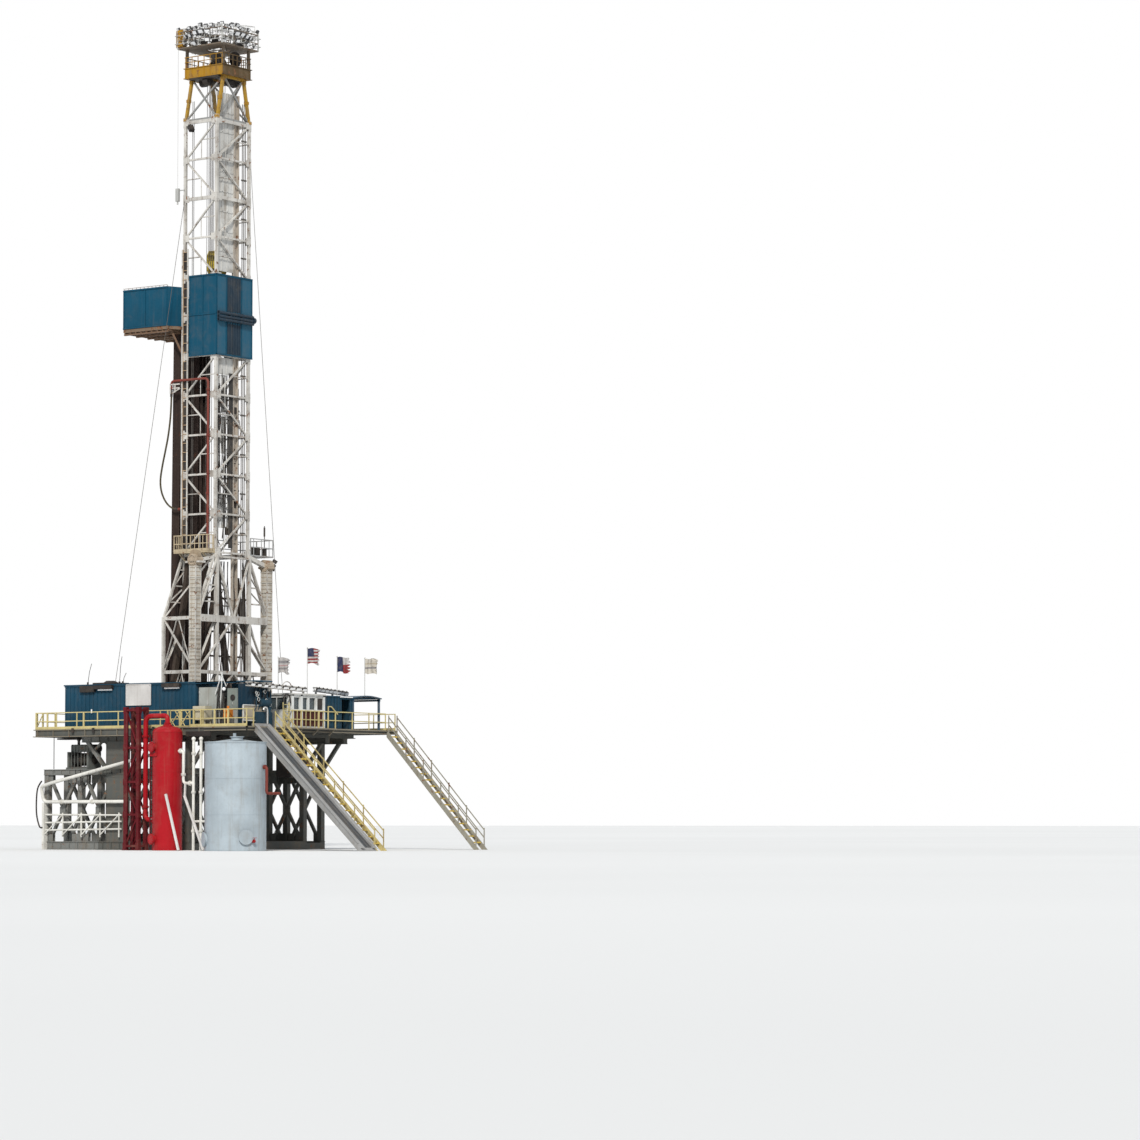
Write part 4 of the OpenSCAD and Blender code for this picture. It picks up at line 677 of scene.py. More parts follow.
def crown_truss(truss):
    z = CROWN_Z
    corners = ((-1, -1), (1, -1), (1, 1), (-1, 1), (-1, -1))
    for dz, k in ((-0.40, 1.06), (-0.13, 1.06), (0.10, 0.96)):
        pts = [(CROWN_X * k * a, CROWN_Y * k * b, z + dz) for a, b in corners]
        for a, b in zip(pts, pts[1:]):
            truss.cyl(a, b, 0.028, 8)
    for i in range(9):
        t = (-1 + i / 4) * 0.96
        for s in (-1, 1):
            for u, d in ((t, 0.018), (t + 0.24, 0.014))[:1 if i == 8 else 2]:
                truss.cyl((CROWN_X * t, s * CROWN_Y * 1.06, z - 0.40),
                          (CROWN_X * u, s * CROWN_Y * 0.96, z + 0.10), d, 6)
                truss.cyl((s * CROWN_X * 1.06, CROWN_Y * t, z - 0.40),
                          (s * CROWN_X * 0.96, CROWN_Y * u, z + 0.10), d, 6)
    for s, t in ((1, -1), (-1, -1), (1, 1), (-1, 1)):
        truss.round_z(s * CROWN_X, t * CROWN_Y, 26.38, z + 0.12, 0.05, 10)
    for y, rise, dip in ((0.7, 0.30, 0.25), (0.2, 0.27, 0.21)):
        truss.tube([(0.5, y, z + 0.1), (0.5, y, z + rise), (0.95, y + 0.05, z + dip), (0.95, y + 0.05, z)],
                   0.02, 6)
    truss.cyl((0.5, 0.2, z + 0.27), (0.5, 0.7, z + 0.30), 0.02, 6)
    truss.cyl((0.95, 0.25, z + 0.21), (0.95, 0.75, z + 0.25), 0.02, 6)


def rim_lamp(lamps, glass, x, y, out):
    m, out = Vector((x, y, 27.04)), Vector(out).normalized()
    side = square_to(out)
    up = out.cross(side)
    lamps.bar(m - out * 0.035, m + out * 0.03, 0.115, 0.085, up)
    lamps.bar(m - out * 0.05, m - out * 0.035, 0.07, 0.05, up)
    for t in (-0.04, -0.02, 0.0, 0.02, 0.04):
        lamps.bar(m - out * 0.055 + side * t, m - out * 0.03 + side * t, 0.006, 0.075, up)
    glass.bar(m + out * 0.031, m + out * 0.036, 0.10, 0.07, up)
    lamps.post(x, y, 26.93, 27.02, 0.02)


def make_crown_lights():
    lamps = Mesh("crown_floodlights", "lamp_metal")
    glass = Mesh("crown_lamp_lenses", "lamp_metal", LENS)
    truss = Mesh("crown_light_frame", "galvanised")
    crown_ring_lamps(lamps, glass, truss)
    crown_truss(truss)
    for i in range(5):
        t = i / 2 - 1
        for e in (-1, 1):
            rim_lamp(lamps, glass, 0.94 * t, e * 0.91, (0.35 * t, e, -0.55))
            if 0 < i < 4:
                rim_lamp(lamps, glass, e * 0.94, 0.91 * t, (e, 0.35 * t, -0.55))
    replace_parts(lamps.make(), "crown_lights")
    make_all(glass, truss)


def make_crown_gear():
    gear = Mesh("crown_gear", "sheave_iron", DARK)
    for x, y, z, d in ((-0.35, 0.62, 26.05, 0.42), (0.42, -0.55, 26.0, 0.36), (0.45, 0.35, 26.08, 0.5)):
        gear.round_x(x - 0.05, x + 0.05, y, z, d, 28)
        for x0 in (x - 0.08, x + 0.055):
            gear.block((x0, y - 0.06, CROWN_TOP), (x0 + 0.025, y + 0.06, z + 0.1))
    for x, y, z in ((-0.42, -0.2, 25.32), (0.0, -0.52, 25.28), (0.44, 0.1, 25.30), (0.3, 0.52, 25.33)):
        gear.round_x(x - 0.10, x + 0.10, y, z, 0.30, 24)
        gear.stand(x, y, z, CROWN_TOP - 0.34, 0.13, 0.05)
    for x0, x1, y0, y1 in ((-0.62, 0.62, -0.72, -0.45), (-0.62, 0.62, 0.45, 0.72),
                           (-0.62, -0.24, -0.45, 0.45), (0.24, 0.62, -0.45, 0.45)):
        gear.block((x0, y0, 25.34), (x1, y1, 25.40))
    for x, y in ((-0.2, -0.45), (0.3, -0.5), (0.5, 0.5), (0.0, 0.55)):
        gear.stand(x, y, 26.41, 26.41 + rnd.uniform(0.2, 0.42), 0.09, 0.07)
        gear.tube([(x, y, 26.41), (x + 0.1, y, 26.9), (x + 0.3, y + 0.1, 26.9)], 0.03, 8)
    gear.make()


def make_crown_fittings():
    # Crown fittings: yellow paint with the dark brown painted shade on the +X side.
    steel = Mesh("crown_fittings", "crown_paint", CROWN_PAINT_AND_SHADE)
    ex, ey, z = 0.83, 0.70, CROWN_TOP
    for x in (-ex, ex):
        for i in range(7):
            steel.post(x, -0.66 + i * 0.22, z, z + 0.36, 0.02, up=Y)
        steel.beam_y(x, -ey, ey, z + 0.36, 0.025)
        steel.beam_y(x, -ey, ey, z + 0.19, 0.02)
    for y in (-ey, ey):
        for i in range(7):
            x = -0.78 + i * 0.26
            steel.post(x, y, z, z + 0.36, 0.02, up=Y)
            steel.block((x - 0.008, y, z - 0.33), (x + 0.008, y * 1.025, z - 0.02))
        steel.beam_x(-ex, ex, y, z + 0.36, 0.025)
        steel.beam_x(-ex, ex, y, z + 0.19, 0.02)
    for s in (-1, 1):
        for z0, z1 in ((z - 0.35, z - 0.33), (z - 0.02, z)):
            steel.block((-0.87, s * ey - 0.03, z0), (0.87, s * ey + 0.03, z1))
            steel.block((s * ex - 0.03, -0.74, z0), (s * ex + 0.03, 0.74, z1))
    for s in (-1, 1):
        for x in (-HX, HX):
            for t in (0.0, 0.5, 1.0):
                steel.plate(x, s * (HY - 0.288 * t), MAST_TOP + 0.05 + t * 1.3, 0.06, 0.06, 0.05)
    x, y = -0.93, -0.80
    steel.round_z(x, y, 26.45, 26.98, 0.30, 20)
    steel.cone(x, y, 26.98, 27.06, 0.30, 0.12, 20)
    steel.cone(x, y, 26.37, 26.45, 0.16, 0.30, 20)
    steel.make()


def make_counterweight():
    weight = Mesh("line_counterweight", "galvanised")
    weight.block((-0.99, -0.96, 21.31), (-0.86, -0.88, 21.74))
    weight.round_z(-0.925, -0.92, 21.21, 21.31, 0.05, 10)
    weight.round_z(-0.925, -0.92, 21.74, 26.40, 0.012, 6)
    weight.bar((-0.97, -0.92, 26.39), (-0.85, -0.90, 26.39), 0.06, 0.04)
    weight.block((-0.93, -0.90, 21.66), (-0.66, -0.87, 21.69))
    weight.make()
    lamp = Mesh("mast_floodlight", "lamp_metal", DARK)
    lamp.bar((-0.45, -0.86, 23.78), (-0.31, -0.93, 23.60), 0.17, 0.12)
    lamp.tube([(-0.45, -0.86, 23.58), (-0.50, -0.84, 23.80), (-0.50, -0.86, 24.0)], 0.025, 8)
    lamp.make()


def make_lines():
    m = Mesh("tugger_lines", "wire_rope")
    for x in (-0.12, -0.04, 0.04, 0.12):
        m.round_z(x, -0.38, 4.05, 25.36, 0.018, 8)
        m.block((x - 0.03, -0.41, 3.84), (x + 0.03, -0.35, 4.06))
    for x, y in ((-0.42, -0.76), (-0.36, -0.76), (0.60, 0.56), (0.60, 0.64), (0.60, 0.72)):
        m.round_z(x, y, 3.9, 24.6, 0.020 if y < 0 else 0.028, 8)
    for i in range(BAYS):
        z = MAST_Z + 0.7 + i * BAY
        m.block((0.58, 0.52, z), (0.62, 0.76, z + 0.05))
    m.make()


def make_windwalls():
    ox, oy, z0, z1 = 0.755, 0.905, 16.15, 18.80
    m = Mesh("windwall_ribs", "windwall_paint")
    zs = 17.50
    for s in (-1, 1):
        for z in (z0 + 0.02, zs, z1 - 0.02):
            m.beam_x(-0.415, ox, s * (oy + 0.012), z, 0.024, 0.04)
        for x in (-0.40, 0.17, ox - 0.015):
            m.post(x, s * (oy + 0.010), z0, z1, 0.02, 0.03)
    for z in (z0 + 0.02, z1 - 0.02):
        m.beam_y(ox + 0.012, -oy, oy, z, 0.024, 0.04)
    for y in (-oy + 0.015, -0.41, 0.36, oy - 0.015):
        m.post(ox + 0.010, y, z0, z1, 0.02, 0.03, up=Y)
    for z in (z0, z1):
        m.beam_x(-0.415, ox, -oy - 0.005, z, 0.05, 0.014)
        m.beam_y(ox + 0.005, -oy, oy, z, 0.05, 0.014)
    b = 2.865
    for y in (-1.375, 1.375):
        s = -1 if y < 0 else 1
        for i in range(3):
            x = -b + 0.02 + i * 0.93
            m.post(x, y + s * 0.010, 17.16, 18.46, 0.018, 0.035)
        m.beam_x(-b, -0.95, y + s * 0.012, 18.44, 0.03, 0.045)
        m.beam_x(-b, -0.95, y + s * 0.012, 17.19, 0.03, 0.045)
    for i in range(3):
        y = -1.355 + i * 1.355
        m.post(-b - 0.010, y, 17.16, 18.46, 0.018, 0.035, up=Y)
    m.beam_y(-b - 0.012, -1.375, 1.375, 18.44, 0.03, 0.045)
    m.beam_y(-b - 0.012, -1.375, 1.375, 17.19, 0.03, 0.045)
    m.make()
    d = Mesh("windwall_guard_roller", "windwall_paint", SLATE)
    for z in (17.30, 17.40, 17.52):
        d.round_y(ox + 0.09, -0.90, 0.86, z, 0.10, 14)
    for y in (-0.88, -0.3, 0.3, 0.8):
        d.block((ox, y - 0.02, 17.26), (ox + 0.12, y + 0.02, 17.58))
    d.round_y(ox + 0.09, 0.86, 0.92, 17.42, 0.20, 18)
    d.block((ox + 0.002, -0.36, z0 + 0.06), (ox + 0.008, 0.30, 17.20))
    d.block((ox + 0.002, -0.36, 17.62), (ox + 0.008, 0.30, z1 - 0.06))
    for i in range(6):
        y = -0.34 + i * 0.125
        d.post(ox + 0.014, y, z0 + 0.06, z1 - 0.06, 0.012, 0.02, up=Y)
    d.make()
    stands = Mesh("racked_pipe_stands", "drill_pipe")
    for s, lanes, count in ((-1, 3, 2), (1, 4, 6)):
        for j in range(lanes):
            for i in range(count):
                x, y = -1.059 - i * 0.13, s * (0.2655 + j * 0.191)
                stands.cyl((x - 0.119, y, 3.842), (x, y, 17.53), 0.064, 12)
    stands.make()
    collars = Mesh("drill_collars", "drill_pipe")
    for j in range(3):
        for i in range(2):
            x, y = -1.60 - i * 0.105, -0.2655 - j * 0.191
            collars.cyl((x, y, 3.845), (x + 0.17, y, 8.45 - 0.35 * i - 0.12 * j), 0.10, 14)
    collars.make()
    r = Mesh("racking_board_steel", "board_steel", BROWN)
    for i in range(9):
        x = -b + 0.05 + i * 0.235
        among_pipes = -1.85 < x < -0.95
        for y0, y1 in ((-1.36, -0.72), (-0.17, 0.17), (0.92, 1.36)) if among_pipes else ((-1.36, 1.36),):
            r.beam_y(x, y0, y1, 17.02, 0.05)
    for y in (-1.34, -0.743, -0.17, 0.17, 0.743, 1.34):
        r.beam_x(-b + 0.02, -0.93, y, 16.98, 0.06, 0.05)
    for s in (-1, 1):
        r.bar((-1.0, s * 1.1, 17.0), (-0.72, s * 0.84, 16.2), 0.06, 0.06)
        for i in range(12):
            x = -b + 0.06 + i * 0.17
            r.post(x, s * 1.385, 18.46, 18.50, 0.012)
        r.beam_x(-b, -0.95, s * 1.385, 18.51, 0.012)
    r.make()
    # Dark strip behind the ladder, between its rails: painted shade of the shadowed mast leg seen through the
    # ladder.
    t = Mesh("ladder_painted_shade_strip", "ladder_paint", DARK)
    t.block((-0.705, -0.8685, 9.70), (-0.50, -0.8655, 19.6))
    t.make()
    k = Mesh("ladder_rails", "mast_paint")
    for x in (-0.718, -0.487):
        k.post(x, -0.90, 9.70, 19.7, 0.022, 0.05)
    k.make()


def make_columns_and_platforms():
    g = Mesh("column_ribs", "mast_paint", RIB)
    m = Mesh("column_edges", "mast_paint")
    for s in (-1, 1):
        y = s * FY
        z = FLOOR_Z + 0.06
        while z < 9.15:
            g.stand(HX, y, z, z + 0.022, 0.133)
            z += 0.13
        for dx in (-0.125, 0.125):
            for dy in (-0.125, 0.125):
                m.post(HX + dx, y + dy, FLOOR_Z, 9.26, 0.03)
        m.stand(HX, y, FLOOR_Z, FLOOR_Z + 0.03, 0.17)
    m.stand(HX, -FY, 9.27, 9.33, 0.30, 0.16)
    m.bar((HX - 0.03, FY - 0.10, 9.36), (HX - 0.03, HY + 0.06, 9.60), 0.16, 0.13)
    m.bar((HX - 0.03, -FY + 0.12, 9.36), (HX - 0.03, -HY - 0.06, 9.52), 0.12, 0.10)
    make_all(m, g)
    c = Mesh("column_joint", "mast_paint", RIB)
    for y in (-FY, FY):
        k = 1 if y > 0 else -1
        c.round_y(HX, y - 0.16, y + 0.16, 9.36, 0.40, 28)
        c.round_x(HX - 0.17, HX + 0.17, y, 9.36, 0.34, 24)
        c.ring((HX, y + k * 0.165, 9.36), Y, 0.30, 0.04, 28, 8)
        for a in turns(8):
            c.round_y(HX + 0.15 * cos(a), y - 0.175, y + 0.175, 9.36 + 0.15 * sin(a), 0.03, 6)
        c.beam_x(HX - 0.24, HX + 0.24, y, 9.30, 0.30, 0.07)
    c.make()
    h = Mesh("column_head", "sheave_iron", DARK)
    h.round_y(HX, -FY - 0.13, -FY - 0.085, 9.51, 0.10, 14)
    h.block((HX - 0.10, FY + 0.12, 9.20), (HX + 0.10, FY + 0.30, 9.32))
    h.bar((HX + 0.02, FY + 0.25, 9.30), (HX + 0.02, FY + 0.34, 9.42), 0.16, 0.10)
    h.make()
    r = Mesh("mast_platform_rails", "rail_paint", PLATFORM)
    z = MAST_Z + 0.04
    y0 = -HY - 0.045 - 0.42
    for i in range(9):
        x = -0.70 + i * 0.175
        r.post(x, y0 + 0.014, z, z + 0.55, 0.018)
    for x in (-0.71, 0.71):
        for y in (y0 + 0.14, y0 + 0.28):
            r.post(x, y, z, z + 0.55, 0.018)
    r.beam_x(-0.715, 0.715, y0, z + 0.05, 0.008, 0.09)
    for x in (-0.715, 0.715):
        r.beam_y(x, y0, -0.90, z + 0.05, 0.008, 0.09)
    for x in (-0.5, 0.0, 0.5):
        r.bar((x, y0 + 0.04, z - 0.05), (x, -0.88, z - 0.32), 0.04, 0.04)
    for x in (0.35, 0.0, -0.35):
        r.post(x, 2.08, z, z + 0.55, 0.018)
    for y in (1.1, 1.5, 1.9):
        r.post(0.70, y, z, z + 0.55, 0.018)
    r.make()
    a = Mesh("platform_antenna", "lamp_metal", DARK)
    a.round_z(0.62, 1.75, z, z + 1.0, 0.03, 8)
    a.round_z(0.62, 1.75, z + 0.65, z + 0.95, 0.06, 10)
    a.block((0.56, 1.70, z), (0.68, 1.80, z + 0.25))
    a.block((0.30, 1.45, z), (0.55, 1.62, z + 0.30))
    a.bar((0.70, 2.10, z - 0.12), (0.78, 2.20, z - 0.20), 0.12, 0.10)
    a.make()


def make_lower_interior():
    m = Mesh("lower_mast_inner_frame", "mast_paint", UMBER)
    for s in (-1, 1):
        m.bar((-HX + 0.02, s * 1.62, FLOOR_Z), (-HX + 0.10, s * 0.70, 9.3), 0.20, 0.12, up=X)
        m.bar((0.45, s * 1.35, FLOOR_Z), (0.45, s * 0.55, 8.9), 0.13, 0.10, up=X)
        m.bar((-0.1, s * 1.70, 5.0), (0.42, s * 0.9, 9.2), 0.08, 0.08, up=X)
    for z in (5.1, 6.3, 7.1, 8.2):
        m.beam_y(0.45, -1.2, 1.2, z, 0.05, 0.06)
    m.make()
    d = Mesh("mast_cable_bundle", "service_rubber", DARK)
    for k in range(9):
        x = 0.50 + rnd.uniform(-0.10, 0.06)
        y = -0.02 + k * 0.065
        top = rnd.uniform(14.6, 15.6)
        low = rnd.uniform(9.8, 12.2)
        pts = [(x, y, top), (x + rnd.uniform(-0.03, 0.03), y + rnd.uniform(-0.05, 0.05), (top + low) / 2),
               (x, y + rnd.uniform(-0.05, 0.05), low)]
        d.curve(pts, 8, 0.035, 8)
    for i in range(12):
        z = 10.0 + i * 0.44
        d.block((0.44, -0.05 + 0.03 * (i % 3), z), (0.56, 0.52 - 0.05 * (i % 2), z + 0.03))
    for x, y, z, w in ((0.5, 0.1, 10.3, 0.22), (0.5, 0.35, 11.2, 0.18), (0.5, 0.15, 12.9, 0.2),
                       (0.5, 0.25, 14.3, 0.18)):
        d.stand(x, y, z, z + w * 1.2, w / 2)
    d.make()


make_gussets()
make_sub_bracing()
make_guard_and_track()
make_crown_lights()
make_crown_gear()
make_crown_fittings()
make_counterweight()
make_lines()
make_windwalls()
make_columns_and_platforms()
make_lower_interior()


# Floor level
DOG_Y, DOG_EAVES, DOG_ROOF = -4.675, 5.235, 5.28
EDGE_Y = -5.225


def floodlight(m, g, p, out, w=0.11, h=0.08):
    p, out = Vector(p), Vector(out).normalized()
    side = out.cross(UP).normalized()
    up = side.cross(out)
    m.bar(p - out * 0.06, p, w, h, up=up)
    m.bar(p - out * 0.09, p - out * 0.06, w * 0.6, h * 0.6, up=up)
    g.bar(p + out * 0.001, p + out * 0.006, w * 0.86, h * 0.8, up=up)
    m.bar(p - out * 0.03 + up * h / 2, p - out * 0.03 + up * (h / 2 + 0.05), 0.02, 0.02, up=out)


def make_doghouse_ribs():
    ribs = Mesh("doghouse_ribs", "house_paint")
    x0, x1, z0, z1 = -2.332, 3.182, 3.86, 5.23
    for i in range(34):
        x = -2.30 + i * 5.45 / 33
        if not 0.28 < x < 1.34:
            for y in (DOG_Y - 0.007, DOG_Y + 1.407):
                ribs.post(x, y, z0, z1, 0.014, 0.05)
    for i in range(8):
        y = DOG_Y + 0.05 + i * 0.186
        if not DOG_Y + 0.44 < y < DOG_Y + 1.0:
            ribs.post(x0, y, z0, z1, 0.014, 0.05, up=Y)
        ribs.post(x1, y, z0, z1, 0.014, 0.05, up=Y)
    for z in (3.875, 5.225):
        ribs.beam_x(-2.335, 3.185, DOG_Y - 0.012, z, 0.024, 0.05)
        ribs.beam_y(-2.337, DOG_Y - 0.012, DOG_Y + 1.41, z, 0.024, 0.05)
    ribs.beam_x(3.20, 5.70, DOG_Y + 0.32, 5.25, 0.75, 0.035)
    ribs.beam_x(3.20, 4.86, DOG_Y - 0.045, 5.24, 0.02, 0.055)
    ribs.block((4.08, DOG_Y + 0.66, 3.85), (4.46, DOG_Y + 0.70, 5.22))
    ribs.make()


def make_doghouse_fixtures():
    dark = Mesh("doghouse_fixtures", "lamp_metal", DARK)
    dark.block((-1.63, DOG_Y - 0.10, 5.03), (-1.02, DOG_Y - 0.002, DOG_EAVES))
    for x0, x1 in ((-0.98, -0.25), (1.86, 2.58)):
        dark.block((x0, DOG_Y - 0.14, 5.12), (x1, DOG_Y - 0.002, DOG_EAVES))
        dark.block((x0, DOG_Y - 0.15, DOG_EAVES), (x1, DOG_Y - 0.10, 5.245))
    dark.block((-1.25, DOG_Y + 0.1, DOG_ROOF), (-0.32, DOG_Y + 0.8, 5.335))
    dark.cone(-0.78, DOG_Y + 0.45, 5.335, 5.40, 0.5, 0.3, 24)
    y = DOG_Y + 0.12
    for x, top, lean in ((-1.47, 5.95, 0.16), (-0.12, 6.15, 0.10), (0.02, 5.62, 0.14)):
        middle = (x + lean * 0.4, y, DOG_ROOF + (top - DOG_ROOF) * 0.6)
        dark.tube([(x, y, DOG_ROOF), middle, (x + lean, y, top)], 0.018, 8)
        dark.round_z(x, y, DOG_ROOF, 5.36, 0.06, 12)
    dark.make()
    tubes = Mesh("doghouse_light_tubes", "lamp_metal", LENS)
    for x0, x1 in ((-0.85, -0.27), (1.95, 2.55)):
        tubes.round_x(x0, x1, DOG_Y - 0.08, 5.095, 0.055, 14)
    tubes.round_z(-1.15, DOG_Y - 0.05, 4.36, 4.48, 0.05, 12)
    tubes.ball((4.37, DOG_Y - 0.06, 5.02), 0.06)
    tubes.make()


def make_sign():
    sign = Mesh("bare_sign", "cabinet_paint", SIGN)
    x0, x1, y, z0, z1 = 0.30, 1.33, DOG_Y - 0.034, 4.575, 5.245
    sign.block((0.305, DOG_Y - 0.030, z0), (1.325, DOG_Y - 0.012, z1))
    for x in (x0, x1):
        sign.post(x, y, z0, z1, 0.02)
    for z in (4.58, 5.24):
        sign.beam_x(x0, x1, y, z, 0.02)
    sign.bolts([(x, DOG_Y - 0.042, z) for x in (0.34, 1.29) for z in (4.61, 5.21)], (0, -1, 0))
    sign.make()


def handle(m, x, y, z, out, d, rise=0.12):
    """Door handle that stands out from its two ends on the door."""
    a, b = Vector((x, y, z)), Vector((x, y, z + rise))
    m.tube([a, a + Vector(out), b + Vector(out), b], d, 8)


def make_door_hardware():
    trim = Mesh("door_hardware", "galvanised")
    y0, y1, z0, z1 = DOG_Y + 0.49, DOG_Y + 0.96, 3.86, 4.80
    for y in (y0, y1):
        trim.post(-2.335, y, z0, z1, 0.02, 0.03, up=Y)
    trim.beam_y(-2.335, y0, y1, z1, 0.02, 0.03)
    handle(trim, -2.33, DOG_Y + 0.90, 4.30, (-0.04, 0, 0), 0.016)
    for x in (1.815, 2.285):
        trim.post(x, DOG_Y + 1.41, z0, z1, 0.02, 0.03)
    trim.beam_x(1.815, 2.285, DOG_Y + 1.41, z1, 0.02, 0.03)
    handle(trim, 2.2, DOG_Y + 1.40, 4.30, (0, 0.04, 0), 0.016)
    for x0, x1, top in ((3.30, 4.02, 5.09), (4.47, 4.87, 5.04)):
        middle = (x0 + x1) / 2
        trim.post(middle, DOG_Y - 0.004, 3.95, top - 0.06, 0.008, 0.02)
        for z in (4.1, 4.9):
            for x in (x0 + 0.01, x1 - 0.05):
                trim.block((x, DOG_Y - 0.015, z), (x + 0.04, DOG_Y, z + 0.08))
        handle(trim, middle + 0.03, DOG_Y, 4.5, (0, -0.03, 0), 0.014, 0.1)
    trim.make()


def make_cabinet_details():
    box = Mesh("lower_cabinet", "cabinet_paint", CREAM)
    box.block((3.45, EDGE_Y + 0.08, 4.055), (3.96, EDGE_Y + 0.40, 4.49))
    box.post(3.705, EDGE_Y + 0.075, 4.07, 4.48, 0.006, 0.015)
    for x in (3.48, 3.92):
        for y in (EDGE_Y + 0.11, EDGE_Y + 0.37):
            box.post(x, y, FLOOR_Z, 4.06, 0.03)
    box.make()
    grey = Mesh("instrument_panel", "cabinet_paint", GREYGREEN)
    grey.block((4.475, DOG_Y - 0.02, 4.38), (4.865, DOG_Y, 5.035))
    grey.make()
    port = Mesh("panel_port", "lamp_metal", DARK)
    port.round_y(4.70, DOG_Y - 0.035, DOG_Y - 0.02, 4.75, 0.17, 24)
    port.ring((4.70, DOG_Y - 0.038, 4.75), Y, 0.17, 0.02, 24, 8)
    port.block((4.08, DOG_Y + 0.30, 3.85), (4.44, DOG_Y + 0.65, 4.75))
    for i in range(6):
        x = 4.07 + i * 0.055
        port.curve([(x, DOG_Y + 0.1, 5.22), (x + 0.02 * (-1) ** i, DOG_Y - 0.05, 4.7),
                    (x, DOG_Y - 0.06 - 0.02 * (i % 2), 4.2), (x + 0.05, DOG_Y - 0.04, 3.86)], 6, 0.022)
    port.make()
    hot = Mesh("valve_box", "cabinet_paint", ORANGE)
    x, y = 4.78, EDGE_Y + 0.21
    hot.stand(x, y, 4.12, 4.40, 0.12, 0.09)
    hot.round_z(x, y, 4.40, 4.48, 0.08, 14)
    hot.post(x, y, FLOOR_Z, 4.12, 0.05)
    hot.make()
    cord = Mesh("deck_cables", "cabinet_paint", MAT["cabin_paint"])
    cord.bar((4.02, DOG_Y - 0.06, 4.86), (4.30, DOG_Y - 0.06, 5.55), 0.025, 0.025, Y)
    cord.bar((4.24, DOG_Y - 0.08, 5.55), (4.48, DOG_Y - 0.08, 5.10), 0.02, 0.02, Y)
    cord.bar((4.16, DOG_Y - 0.05, 3.86), (4.30, DOG_Y - 0.05, 5.55), 0.025, 0.025, Y)
    cord.make()


def make_rail_details():
    r = Mesh("rail_gates", "rail_paint")
    y = EDGE_Y - 0.016
    for x0, x1 in ((2.62, 2.99), (3.03, 3.42)):
        for x in (x0, x1):
            r.post(x, y, 3.84, 4.37, 0.026)
        for z in (3.87, 4.36):
            r.beam_x(x0, x1, y, z, 0.026)
        r.bar((x0, y, 3.87), (x1, y, 4.36), 0.02, 0.026)
        r.bar((x0, y, 4.11), ((x0 + x1) / 2, y, 3.87), 0.02, 0.022)
        r.bar(((x0 + x1) / 2, y, 4.36), (x1, y, 4.11), 0.02, 0.022)
    for x0, x1 in ((-3.10, 2.62), (3.42, 5.70)):
        r.beam_x(x0, x1, EDGE_Y + 0.006, 3.885, 0.008, 0.09)
    r.beam_y(-3.094, EDGE_Y, 2.30, 3.885, 0.008, 0.09)
    r.beam_x(-3.10, 5.70, 2.294, 3.885, 0.008, 0.09)
    for x in (-3.085, -2.60, -1.04, 0.78, 2.49, 3.55, 3.85, 4.40, 4.95):
        r.post(x, EDGE_Y + 0.014, 3.84, 4.39, 0.045)
    for y in (-4.9, -4.3):
        r.post(-3.086, y, 3.84, 4.39, 0.045, up=Y)
    r.bar((-3.086, -5.2, 3.86), (-3.086, -4.9, 4.36), 0.022, 0.022)
    for yy in (-3.40, -3.12):
        for z0, z1 in ((3.84, 4.62),):
            r.post(5.66, yy, z0, z1, 0.03)
    for i in range(6):
        r.beam_y(5.66, -3.40, -3.12, 3.95 + i * 0.12, 0.018)
    for y0, z0, y1, z1 in ((-1.20, 4.54, -1.05, 4.54), (-1.05, 4.54, -0.72, 4.30)):
        r.bar((5.70, y0, z0), (5.70, y1, z1), 0.028, 0.028)
    r.post(5.70, -1.20, 3.84, 4.54, 0.028)
    for i in range(9):
        yy = -2.98 + i * 0.22
        r.post(5.70, yy, 3.84, 4.40, 0.02)
    r.make()
    e = Mesh("deck_edge_channel", "deck_plate", EDGE)
    for za, zb, d in ((3.815, 3.842, 0.05), (3.60, 3.625, 0.06)):
        e.block((-3.10, EDGE_Y - d, za), (4.0, EDGE_Y - 0.001, zb))
        e.block((-3.10 - d, EDGE_Y - d, za), (-3.101, 2.35, zb))
        e.block((-3.10 - d, 2.301, za), (4.0, 2.30 + d, zb))
    e.block((4.0, EDGE_Y - 0.05, 3.80), (5.75, EDGE_Y - 0.001, 3.842))
    e.block((5.701, EDGE_Y - 0.05, 3.80), (5.75, 2.35, 3.842))
    e.block((4.0, EDGE_Y - 0.03, 3.71), (5.73, EDGE_Y - 0.001, 3.74))
    e.block((5.701, EDGE_Y - 0.03, 3.71), (5.73, 2.33, 3.74))
    for i in range(11):
        x = -3.0 + i * 0.68
        e.block((x, EDGE_Y - 0.045, 3.625), (x + 0.014, EDGE_Y - 0.001, 3.815))
    e.block((5.70, -2.90, 3.80), (5.98, -1.12, 3.84))
    for y in (-2.8, -2.0, -1.2):
        e.bar((5.72, y, 3.62), (5.95, y, 3.80), 0.04, 0.04)
    e.make()
    k = Mesh("deck_edge_patches", "deck_plate", DARK)
    for x in (-1.50, -0.62, 1.9):
        k.block((x, EDGE_Y - 0.07, 3.72), (x + 0.10, EDGE_Y - 0.055, 3.87))
    k.block((3.30, EDGE_Y - 0.08, 3.55), (4.3, EDGE_Y - 0.06, 3.70))
    k.make()


